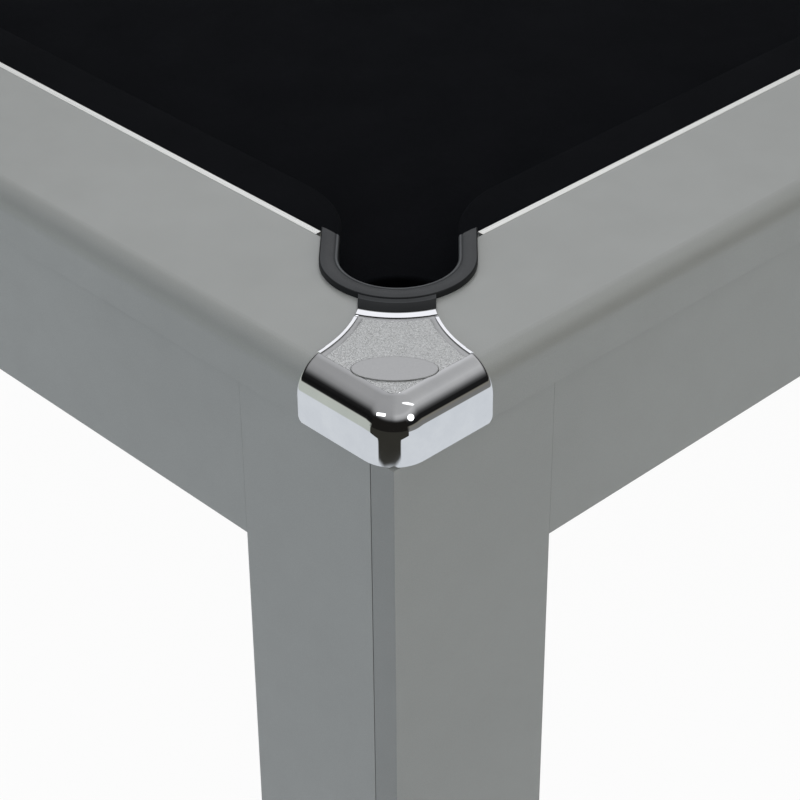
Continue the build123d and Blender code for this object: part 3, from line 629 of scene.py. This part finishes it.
def make_bed_cloth():
    points, lips, outline = cloth_shape()
    mesh = bpy.data.meshes.new("bed_cloth_stretched")
    mesh.from_pydata([Vector(point) * MM for point in points], [], lips + [tuple(outline)])
    work = bmesh.new()
    work.from_mesh(mesh)
    big = max(work.faces, key=lambda face: len(face.verts))
    bmesh.ops.triangulate(work, faces=[big])
    for face in work.faces:
        face.normal_update()
    bmesh.ops.recalc_face_normals(work, faces=work.faces)
    top = max(work.faces, key=lambda face: face.calc_area())
    if top.normal.z < 0:
        bmesh.ops.reverse_faces(work, faces=work.faces)
    area = sum(face.calc_area() for face in work.faces)
    work.to_mesh(mesh)
    work.free()
    mesh.materials.append(BLACK_CLOTH)
    mesh.shade_smooth()
    mesh.set_sharp_from_angle(angle=radians(60))
    obj = bpy.data.objects.new("bed_cloth_stretched", mesh)
    bpy.context.scene.collection.objects.link(obj)
    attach(obj, "table")
    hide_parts("bed_cloth")


make_bed_cloth()


# Pocket liners: a lipped flange on the rail, a wall in its slot and a skirt through the slate

# How fast an arm of the U grows with its radius, at a mitred corner and on a straight side
AT_MITRE, ON_SIDE = 1.0, 0.0
LIP_ROUND, FLANGE_ROUND, FLANGE_FALL = 1.3, 0.9, 0.4
TAB_ROOT, TAB_ROUND = 2.0, 0.8
# Places of the three rubbers in a liner's list of materials: plain, painted shade and painted highlight
PLAIN, PAINTED_SHADE, LIP_PAINTED_HIGHLIGHT = 0, 1, 2


def u_sweep(section, edge, slope, reach=None, turn_steps=56, arm_steps=8):
    """Carries a closed section round the U; returns points in the pocket's own axes and faces."""
    turn = spread(-pi / 2, pi / 2, turn_steps)
    points = []
    for radius, up in section:
        run = max(0.0, edge + slope * radius) if reach is None else reach
        arm = spread(0.0, run, arm_steps)[1:] if run > 0 else []
        ring = [(place, -radius) for place in reversed(arm)]
        ring += [(-radius * cos(a), radius * sin(a)) for a in turn]
        ring += [(place, radius) for place in arm]
        points += [(u, v, up) for u, v in ring]
    rows = len(section)
    columns = len(points) // rows
    faces = grid_faces(rows, columns, close_rows=True)
    faces.append(tuple(row * columns for row in range(rows)))
    faces.append(tuple(row * columns + columns - 1 for row in range(rows)))
    return points, faces


def flange_section():
    """Flat-topped flange with a rounded inner lip, a shallow groove and a crisp outer side."""
    low, top = TABLE_HEIGHT, TABLE_HEIGHT + LINER_LIFT
    section = [(POCKET_RADIUS, low)]
    for angle in spread(0.0, pi / 2, 6):
        across, up = LIP_ROUND * (1 - cos(angle)), LIP_ROUND * sin(angle)
        section.append((POCKET_RADIUS + across, top - LIP_ROUND + up))
    groove = [(2.0, 0.06), (2.8, 0.45), (3.6, 0.12)]
    section += [(POCKET_RADIUS + out, top - down) for out, down in groove]
    brow = [(4.0, 0.05), (2.6, 0.3)]
    section += [(FLANGE - back, top - down) for back, down in brow]
    for angle in spread(0.0, pi / 2, 4):
        back, up = FLANGE_ROUND * (1 - sin(angle)), FLANGE_ROUND * cos(angle)
        section.append((FLANGE - back, top - FLANGE_FALL - FLANGE_ROUND + up))
    return section + [(FLANGE, low)]


def flange_marks(section, faces):
    """Lip in a painted highlight, plain top, and the flange's outer side in painted shade."""
    columns = (len(faces) - 2) // len(section)
    marks = []
    for radius, up in section:
        # Painted highlight on the lip and painted shade on the outer side
        on_lip = radius < POCKET_RADIUS + 2.0 and up > TABLE_HEIGHT
        on_side = radius > FLANGE - 1.0
        marks += [LIP_PAINTED_HIGHLIGHT if on_lip else PAINTED_SHADE if on_side else PLAIN] * columns
    return marks + [PLAIN, PLAIN]


def tab_shape(steps=24):
    """Low tongue from the flange to the corner cap, eased into the flange: points, faces, marks; its flat
    part is in painted shade.
    """
    top, low = TABLE_HEIGHT + LINER_LIFT, TABLE_HEIGHT + TAB_LIFT
    eased = [
        (FLANGE - TAB_ROOT, TABLE_HEIGHT), (FLANGE - TAB_ROOT, top - 1.2),
        (FLANGE + 0.2, top - 1.3), (FLANGE + 1.6, low + 0.5),
    ]
    flat = [(FLANGE + 3.2, low), (TAB - TAB_ROUND, low), (TAB, low - TAB_ROUND), (TAB, TABLE_HEIGHT)]
    section = eased + flat
    half = NECK * sin(radians(NECK_ANGLE))
    across = spread(-half, half, steps)
    points = [(-sqrt(radius**2 - v**2), v, up) for radius, up in section for v in across]
    faces = grid_faces(len(section), len(across), close_rows=True)
    faces.append(tuple(row * len(across) for row in range(len(section))))
    faces.append(tuple(row * len(across) + len(across) - 1 for row in range(len(section))))
    # The tab's flat part takes the darker rubber as painted shade
    plain = len(eased) * steps
    return points, faces, [PLAIN] * plain + [PAINTED_SHADE] * (len(faces) - plain)


def join(*parts):
    """One list of points and one of faces from several."""
    points, faces = [], []
    for more_points, more_faces in parts:
        offset = len(points)
        points += more_points
        faces += [tuple(offset + at for at in face) for face in more_faces]
    return points, faces


def make_liners():
    wall = [(POCKET_RADIUS, BED_TOP), (POCKET_RADIUS, TABLE_HEIGHT), (WALL, TABLE_HEIGHT), (WALL, BED_TOP)]
    low = SLATE_BOTTOM - LINER_SKIRT
    skirt = [(POCKET_RADIUS, low), (POCKET_RADIUS, BED_TOP), (WALL, BED_TOP), (WALL, low)]
    corner_edge = RAIL_WIDTH * sqrt(2) - POCKET_REACH
    middle_edge = RAIL_WIDTH - MIDDLE_SETBACK
    section = flange_section()
    corner_flange = u_sweep(section, corner_edge + TRIM_WIDTH * sqrt(2), AT_MITRE)
    middle_flange = u_sweep(section, middle_edge + TRIM_WIDTH, ON_SIDE)
    tab_points, tab_faces, tab_marks = tab_shape()
    skirt_ring = u_sweep(skirt, 0, ON_SIDE, 0.0)
    corner = (corner_flange, (tab_points, tab_faces), u_sweep(wall, corner_edge, AT_MITRE), skirt_ring)
    middle = (middle_flange, u_sweep(wall, middle_edge, ON_SIDE), skirt_ring)
    rubbers = [LINER, LINER_PAINTED_SHADE, LINER_PAINTED_HIGHLIGHT]
    names = ["front_left", "front_middle", "front_right", "back_right", "back_middle", "back_left"]
    for name, ((x, y), mouth) in zip(names, pocket_frames()):
        kind = middle if name.endswith("middle") else corner
        points, faces = join(*kind)
        placed = []
        for u, v, up in points:
            placed.append((x + u * mouth[0] - v * mouth[1], y + u * mouth[1] + v * mouth[0], up))
        marks = flange_marks(section, kind[0][1])
        if kind is corner:
            marks += tab_marks
        marks += [PLAIN] * (len(faces) - len(marks))
        node = f"pocket_liner_{name}"
        piece(f"liner_{name}", placed, faces, rubbers, node, marks, crease=48.0)


make_liners()


# Corner caps: polished bar and rim round a sunk pebbled panel with a bare oval

# Rim of the panel, as distances in from the cap's edge and drops below its top
RIM_PLACES = [0.0, 0.15, 0.4, 1.0, 2.0, 3.0, 3.2, 7.0]
NECK_PLACES = [0.0, 0.15, 0.4, 2.0, 4.5, 7.2, 7.5, 10.2]
RIM_DROPS = [0.6, 0.15, 0.0, 0.0, 0.0, 0.0, PANEL_RECESS, PANEL_RECESS]
RIMS = len(RIM_PLACES)
RIM_CORNER = 3
END_ROUND = 2.2
BAR_RADIUS, BAR_TUCK, FOOT_EASE = 24.5, 0.4, 0.5
PANEL_OVERRUN, PANEL_START = 0.9, 0.3
BEADS_PER_MM, BEAD_TOP, BEAD_FALL, BEAD_LIMIT = 0.8, 0.34, 0.28, 0.9
OVAL_FOOT = 0.4
# Places of the three finishes in a cap's list of materials
POLISHED, GRAINED, BARE = 0, 1, 2


def cap_columns(straight_steps=84, turn_steps=26):
    """Places along the bar from one end to the other: (kind, value)."""
    straight = spread(RIM_PLACES[-1], CAP_REACH - RAIL_CORNER, straight_steps)[1:]
    turn = spread(0.0, pi / 2, turn_steps)
    left = [("left", value) for value in RIM_PLACES + straight]
    corner = [("turn", angle) for angle in turn[1:-1]]
    right = [("right", value) for value in reversed(RIM_PLACES + straight)]
    return left + corner + right


def bar_point(column, inset):
    """Plan point on the bar, inset from the cap's outer face."""
    kind, value = column
    corner = RAIL_CORNER
    radius = max(corner + CAP_SHELL - inset, 0.0)
    if kind == "turn":
        return (corner - radius * cos(value), corner - radius * sin(value))
    depth = inset - CAP_SHELL
    stop = corner if radius > 0 else depth
    share = value / (CAP_REACH - corner)
    place = CAP_REACH + share * (stop - CAP_REACH)
    return (depth, place) if kind == "left" else (place, depth)


def end_inset(column, rounded):
    """How far the bar's rounded end draws in at this column."""
    kind, value = column
    if kind == "turn" or value >= rounded:
        return 0.0
    return rounded - sqrt(rounded**2 - (rounded - value) ** 2)


def panel_edge(column):
    """Plan point on the front edge of the sunk panel."""
    kind, value = column
    middle = PANEL + PANEL_TIP
    if kind == "turn":
        return (middle - PANEL_TIP * cos(value), middle - PANEL_TIP * sin(value))
    share = value / (CAP_REACH - RAIL_CORNER)
    reach = CAP_REACH + PANEL_OVERRUN
    place = reach + share * (middle - reach)
    return (PANEL, place) if kind == "left" else (place, PANEL)


def neck_point(share):
    """Plan point on the neck; the share runs from the left end, -1, to the right end, 1."""
    angle = radians(225 + NECK_ANGLE * share)
    return (INSET + NECK * cos(angle), INSET + NECK * sin(angle))


def neck_shares(count):
    """Share of the neck at which each column ends; the rim's columns keep their widths."""
    arc = NECK * radians(NECK_ANGLE)
    inner = count - 2 * RIMS
    first = -1 + RIM_PLACES[-1] / arc
    shares = [-1 + place / arc for place in RIM_PLACES]
    shares += [first * (1 - 2 * (at + 1) / (inner + 1)) for at in range(inner)]
    return shares + [1 - place / arc for place in reversed(RIM_PLACES)]


def bead_height(x, y):
    """Height of the cast grain over the panel."""
    distances, _ = noise.voronoi(Vector((x, y, 0.0)) * BEADS_PER_MM)
    return BEAD_TOP - BEAD_FALL * min(BEAD_LIMIT, distances[0])


class CapMesh:
    """Rows of points over one cap, each from end to end of its bar, in the corner's own axes."""

    def __init__(self):
        self.columns = cap_columns()
        self.count = len(self.columns)
        self.front = [panel_edge(column) for column in self.columns]
        self.back = [neck_point(share) for share in neck_shares(self.count)]
        self.rows = []

    def bar_row(self, inset, up, rounded=END_ROUND):
        places = [bar_point(column, inset + end_inset(column, rounded)) for column in self.columns]
        self.rows.append([(*place, up) for place in places])

    def length(self, at):
        """Length of the top plate at one column."""
        start, stop = self.front[at], self.back[at]
        return hypot(stop[0] - start[0], stop[1] - start[1])

    def plate_point(self, at, along):
        """Plan point on the top plate, along from the panel's front edge or, below zero, from the neck."""
        start, stop = self.front[at], self.back[at]
        length = self.length(at)
        part = along / length if along >= 0 else 1 + along / length
        run = (stop[0] - start[0], stop[1] - start[1])
        aside = 2 * at / (self.count - 1) - 1
        pull = CAP_HOLLOW * 4 * part * (1 - part) * abs(aside) ** 3 * (1 if aside > 0 else -1)
        x = start[0] + part * run[0] - run[1] / length * pull
        y = start[1] + part * run[1] + run[0] / length * pull
        return (x, y)

    def side_drop(self, at):
        """Drop of the plate below the cap's top, from the rim at its sides to the sunk panel."""
        near = min(at, self.count - 1 - at)
        return RIM_DROPS[near] if near < RIMS else PANEL_RECESS

    def add_bar(self):
        """Outside of the bar, from its foot up and over to the panel."""
        self.bar_row(FOOT_EASE, BED_TOP)
        for up in spread(BED_TOP + FOOT_EASE, BED_TOP + SKIRT_ROUND, 5):
            self.bar_row(0.0, up)
        middle = CAP_TOP - BAR_RADIUS
        for up in spread(BED_TOP + SKIRT_ROUND, middle, 5)[1:]:
            self.bar_row(0.0, up)
        over = acos(1 - (PANEL + CAP_SHELL - BAR_TUCK) / BAR_RADIUS)
        for angle in spread(0.0, over, 28)[1:]:
            self.bar_row(BAR_RADIUS * (1 - cos(angle)), middle + BAR_RADIUS * sin(angle))
        lip_top = middle + BAR_RADIUS * sin(over)
        self.rows.append([(*place, lip_top - PANEL_RECESS) for place in self.front])

    def add_panel(self, steps=112):
        """Sunk, grained panel between the bar's lip and the rim at the neck."""
        for step in range(steps + 1):
            row = []
            for at in range(self.count):
                last = self.length(at) - NECK_PLACES[-1]
                x, y = self.plate_point(at, PANEL_START + step / steps * (last - PANEL_START))
                up = CAP_TOP - self.side_drop(at)
                border = min(step, steps - step, at - RIMS + 1, self.count - RIMS - at)
                if border > 0:
                    up += min(1.0, border / 2) * bead_height(x, y)
                row.append((x, y, up))
            self.rows.append(row)

    def add_neck_rim(self):
        for place, drop in reversed(list(zip(NECK_PLACES, RIM_DROPS))[:-1]):
            row = []
            for at in range(self.count):
                x, y = self.plate_point(at, -place) if place else self.back[at]
                at_corner_of_rim = min(at, self.count - 1 - at) < RIM_CORNER
                row.append((x, y, CAP_TOP - (max(drop, self.side_drop(at)) if at_corner_of_rim else drop)))
            self.rows.append(row)

    def add_underside(self):
        """Flat under the plate and hollow under the bar, where the cap sits on the rails."""
        self.rows.append([(*place, TABLE_HEIGHT) for place in self.back])
        for part in (0.8, 0.6, 0.4, 0.2):
            places = [self.plate_point(at, part * self.length(at)) for at in range(self.count)]
            self.rows.append([(*place, TABLE_HEIGHT) for place in places])
        self.rows.append([(*place, TABLE_HEIGHT) for place in self.front])
        for angle in reversed(spread(0.0, pi / 2, 12)):
            up = TABLE_HEIGHT - RAIL_ROUND + RAIL_ROUND * sin(angle)
            self.bar_row(CAP_SHELL + RAIL_ROUND * (1 - cos(angle)), up, 0.0)
        self.bar_row(CAP_SHELL, BED_TOP, 0.0)

    def round_skirt_ends(self):
        """Draws the lower ends of the skirt back along an arc."""
        for row in self.rows:
            for at, (kind, value) in enumerate(self.columns):
                x, y, up = row[at]
                drop = BED_TOP + SKIRT_ROUND - up
                if kind == "turn" or drop < 0:
                    continue
                back_off = SKIRT_ROUND - sqrt(max(0.0, SKIRT_ROUND**2 - drop**2))
                back_off *= 1 - value / (CAP_REACH - RAIL_CORNER)
                row[at] = (x, y - back_off, up) if kind == "left" else (x - back_off, y, up)

    def shape(self):
        """Points, faces and material marks of the whole cap."""
        self.add_bar()
        sunk_first = len(self.rows)
        self.add_panel()
        sunk_last = len(self.rows) - 1
        self.add_neck_rim()
        turn_under = len(self.rows)
        self.add_underside()
        self.round_skirt_ends()
        points = [point for row in self.rows for point in row]
        faces = grid_faces(len(self.rows), self.count, close_rows=True)
        marks = []
        for row in range(len(self.rows)):
            for column in range(self.count - 1):
                near = min(column, self.count - 2 - column)
                sunk = sunk_first <= row < sunk_last and near >= RIMS
                margin = sunk_first <= row <= sunk_last and near >= RIMS - 2
                marks.append(GRAINED if sunk else BARE if margin else POLISHED)
        for end in (0, self.count - 1):
            outside = [row * self.count + end for row in range(turn_under)]
            inside = [row * self.count + end for row in reversed(range(turn_under, len(self.rows)))]
            strip = zipped(points, outside, inside)
            faces += strip
            marks += [POLISHED] * len(strip)
        return points, faces, marks


def zipped(points, first, second):
    """Triangles between two chains of points that run side by side."""
    def shares(chain):
        run = [0.0]
        for a, b in zip(chain, chain[1:]):
            run.append(run[-1] + (Vector(points[b]) - Vector(points[a])).length)
        return [length / run[-1] for length in run]

    run_first, run_second = shares(first), shares(second)
    at, other, faces = 0, 0, []
    while at < len(first) - 1 or other < len(second) - 1:
        step_first = other == len(second) - 1 or (
            at < len(first) - 1 and run_first[at + 1] <= run_second[other + 1]
        )
        if step_first:
            faces.append((first[at], first[at + 1], second[other]))
            at += 1
        else:
            faces.append((first[at], second[other + 1], second[other]))
            other += 1
    return faces


def oval_shape(steps=96):
    """Bare, flat-topped oval with an eased edge that stands on the panel."""
    base = CAP_TOP - PANEL_RECESS - OVAL_FOOT
    top = CAP_TOP + OVAL_PROUD
    rings = [(1.0, base), (1.0, top - 0.35), (0.992, top - 0.12), (0.975, top - 0.03), (0.95, top)]
    rings += [(part, top) for part in (0.8, 0.6, 0.4, 0.2)]
    middle = OVAL_PLACE / sqrt(2)
    points = []
    for part, up in rings:
        for step in range(steps):
            angle = 2 * pi * step / steps
            across = part * OVAL_LENGTH / 2 * cos(angle)
            along = part * OVAL_WIDTH / 2 * sin(angle)
            points.append((middle + (along + across) / sqrt(2), middle + (along - across) / sqrt(2), up))
    faces = grid_faces(len(rings), steps, close_columns=True)
    faces.append(tuple(range(steps)))
    faces.append(tuple(len(points) - steps + at for at in range(steps)))
    return points, faces


def make_caps():
    cap_points, cap_faces, marks = CapMesh().shape()
    oval_points, oval_faces = oval_shape()
    points, faces = join((cap_points, cap_faces), (oval_points, oval_faces))
    marks += [BARE] * len(oval_faces)
    finishes = [CHROME, PEBBLED, SATIN]
    for name, side in CORNERS.items():
        placed = [at_corner(along, across, up, side) for along, across, up in points]
        piece(f"cap_{name}", placed, faces, finishes, f"corner_cap_{name}", marks, crease=38.0)


make_caps()


# Studio: pale floor, soft light and the photograph's camera

CORNER_FOOT = (-HALF_LENGTH * MM, -HALF_WIDTH * MM, 0.0)
TO_PERSON = (-0.848, -0.530, 0.0)
TO_RIGHT = (0.707, -0.707, 0.0)
BRIGHT_WALL = (0.574, 0.597, 0.561)
CAP_SPOT = (-1.09, -0.63, 0.8)
FLOOR_REACH = 40.0
# Camera: lens and sensor in millimetres, angles in degrees, and millimetres out from the corner's top
LENS, SENSOR = 104.5, 36.0
HEADING, PITCH, ROLL = 46.187, 34.156, -0.454
CAMERA_OUT = (834.9, 876.7, 837.7)


def make_floor():
    """Pale floor; to mirror rays it glows as a painted reflection, with a painted dark patch where the camera
    stands.
    """
    mesh = bpy.data.meshes.new("studio_floor")
    turns = ((-1, -1), (1, -1), (1, 1), (-1, 1))
    outline = [(FLOOR_REACH * x, FLOOR_REACH * y, 0) for x, y in turns]
    mesh.from_pydata(outline, [], [(0, 1, 2, 3)])
    n = Nodes(bpy.data.materials.new("studio_floor"))
    cloud = n.noise(0.6, 3.0)
    n.set(Base_Color=n.ramp(cloud, (0.3, 0.80), (0.7, 0.83)), Roughness=0.8)
    white = n.add("ShaderNodeEmission", Color=(1, 1, 1, 1), Strength=1.0)
    away = n.vector("SUBTRACT", n.place, CORNER_FOOT)
    reach = n.vector("LENGTH", away)
    facing = n.vector("NORMALIZE", away)
    # Glow seen only by mirror rays: painted reflection of the floor, paler near the table
    near = (0.69, 0.72, 0.75)
    on_left = n.ramp(n.span(reach, 2.4, 2.8, 0.0, 1.0), (0.0, near), (1.0, (0.51, 0.54, 0.49)))
    on_right = n.ramp(n.span(reach, 6.5, 8.5, 0.0, 1.0), (0.0, near), (1.0, (0.20, 0.20, 0.19)))
    pale = n.mix(n.span(n.vector("DOT_PRODUCT", facing, TO_RIGHT), -0.1, 0.1, 0.0, 1.0), on_left, on_right)
    # Painted dark patch where the person at the camera stands, seen only in mirrors
    aside = n.vector("DOT_PRODUCT", facing, TO_PERSON)
    spread_out = n.span(reach, 1.5, 2.4, 0.85, 0.62)
    within = n.span(n.maths("SUBTRACT", aside, spread_out), -0.012, 0.012, 0.0, 1.0)
    start = n.span(aside, 0.97, 0.86, 1.060, 1.078)
    beyond = n.span(n.maths("SUBTRACT", reach, start), -0.006, 0.006, 0.0, 1.0)
    shade = n.maths("MULTIPLY", within, beyond)
    mirrored = n.add("ShaderNodeEmission", Color=n.mix(shade, pale, (0.032, 0.031, 0.026)), Strength=1.0)
    path = n.add("ShaderNodeLightPath")
    shown = n.shaders(0.96, n.shader.outputs[0], white.outputs[0])
    surface = n.shaders(path.outputs["Is Glossy Ray"], n.shader.outputs[0], mirrored.outputs[0])
    surface = n.shaders(path.outputs["Is Camera Ray"], surface, shown)
    n.put(n.tree.nodes["Material Output"], "Surface", surface)
    mesh.materials.append(n.owner)
    floor = bpy.data.objects.new("studio_floor", mesh)
    bpy.context.scene.collection.objects.link(floor)


def make_world():
    """White to the camera, even light on the object, a dim room with one bright wall for mirrors."""
    world = bpy.data.worlds.new("studio")
    bpy.context.scene.world = world
    n = Nodes(world, "Generated")
    height = n.add("ShaderNodeSeparateXYZ", Vector=n.place).outputs["Z"]
    on_left = n.ramp(
        height, (0.0, (0.50, 0.53, 0.48)), (0.10, (0.52, 0.54, 0.49)), (0.155, 0.012), (0.30, 0.006),
        (0.46, 0.014), (0.52, 0.06), (0.65, 0.26), (0.76, 0.34), (1.0, 0.36),
    )
    on_right = n.ramp(
        height, (0.0, 0.19), (0.16, (0.20, 0.19, 0.16)), (0.20, 0.010), (0.38, 0.012), (0.47, 0.07),
        (0.56, 0.22), (0.65, 0.42), (0.74, 0.52), (0.82, 0.42), (1.0, 0.40),
    )
    room = n.mix(n.span(n.vector("DOT_PRODUCT", n.place, TO_RIGHT), -0.1, 0.1, 0.0, 1.0), on_left, on_right)
    level = n.vector("NORMALIZE", n.vector("MULTIPLY", n.place, (1.0, 1.0, 0.0)))
    person = n.span(n.vector("DOT_PRODUCT", level, TO_PERSON), 0.56, 0.66, 0.0, 1.0)
    person = n.maths("MULTIPLY", person, n.span(height, 0.46, 0.60, 1.0, 0.0))
    room = n.mix(person, room, (0.012, 0.011, 0.010))
    wall = n.ramp(
        n.vector("DOT_PRODUCT", n.place, BRIGHT_WALL),
        (0.87, 0.0), (0.90, 0.06), (0.955, 0.22), (0.968, 0.75), (0.980, 1.0),
    )
    seen = n.mix(wall, room, (1.05, 1.05, 1.08))
    path = n.add("ShaderNodeLightPath")
    soft = n.add("ShaderNodeBackground", Color=(1, 1, 1, 1), Strength=0.49)
    mirrored = n.add("ShaderNodeBackground", Color=seen, Strength=1.0)
    white = n.add("ShaderNodeBackground", Color=(1, 1, 1, 1), Strength=1.0)
    lit = n.shaders(path.outputs["Is Glossy Ray"], soft.outputs[0], mirrored.outputs[0])
    shown = n.shaders(path.outputs["Is Camera Ray"], lit, white.outputs[0])
    n.put(n.tree.nodes["World Output"], "Surface", shown)


def area_light(name, place, target, size, power, glints=False, colour=(1, 1, 1), roll=0.0, shape="RECTANGLE"):
    """Soft light on the object or, as a glint, a lamp that only mirrors see."""
    lamp = bpy.data.lights.new(name, "AREA")
    lamp.shape = shape
    lamp.size, lamp.size_y = size
    lamp.energy = power
    lamp.color = colour
    obj = bpy.data.objects.new(name, lamp)
    obj.location = place
    aim = (Vector(target) - Vector(place)).to_track_quat("-Z", "Y")
    obj.rotation_euler = (aim @ Quaternion((0.0, 0.0, 1.0), radians(roll))).to_euler()
    obj.visible_glossy = glints
    obj.visible_diffuse = not glints
    obj.visible_camera = False
    bpy.context.scene.collection.objects.link(obj)


def make_camera():
    camera = bpy.data.cameras.new("camera")
    camera.sensor_width = SENSOR
    camera.sensor_fit = "HORIZONTAL"
    camera.lens = LENS
    camera.clip_start, camera.clip_end = 0.05, 200.0
    obj = bpy.data.objects.new("camera", camera)
    heading, pitch, roll = radians(HEADING), radians(PITCH), radians(ROLL)
    forward = Vector((cos(heading) * cos(pitch), sin(heading) * cos(pitch), -sin(pitch)))
    right = Vector((sin(heading), -cos(heading), 0.0))
    up = right.cross(forward)
    turned_right = cos(roll) * right + sin(roll) * up
    turned_up = cos(roll) * up - sin(roll) * right
    turn = Matrix((turned_right, turned_up, -forward)).transposed()
    out_x, out_y, out_z = CAMERA_OUT
    place = Vector((-HALF_LENGTH - out_x, -HALF_WIDTH - out_y, TABLE_HEIGHT + out_z)) * MM
    obj.matrix_world = Matrix.Translation(place) @ turn.to_4x4()
    bpy.context.scene.collection.objects.link(obj)
    bpy.context.scene.camera = obj


make_floor()
make_world()
area_light("overhead", (-0.4, -0.2, 3.6), (0.0, 0.0, 0.8), (3.2, 2.4), 53.0, colour=(1.0, 1.0, 0.96))
area_light("cool_left", (-4.2, 0.2, 2.4), (-0.9, -0.3, 0.6), (2.4, 2.0), 29.0, colour=(0.84, 0.96, 1.0))
area_light("warm_right", (-0.2, -4.2, 2.4), (-0.6, -0.6, 0.6), (2.4, 2.0), 29.0, colour=(1.0, 0.98, 0.76))
area_light("glint_left", (-3.55, -0.39, 3.14), CAP_SPOT, (1.5, 0.55), 5.7, True, roll=25.0)
area_light("glint_right", (-0.52, -3.49, 2.55), CAP_SPOT, (1.15, 1.15), 7.0, True, shape="ELLIPSE")
area_light("glint_soft", (0.32, -1.64, 3.74), CAP_SPOT, (0.5, 1.7), 2.4, True, shape="ELLIPSE")
make_camera()

bpy.context.scene.view_settings.view_transform = "Standard"
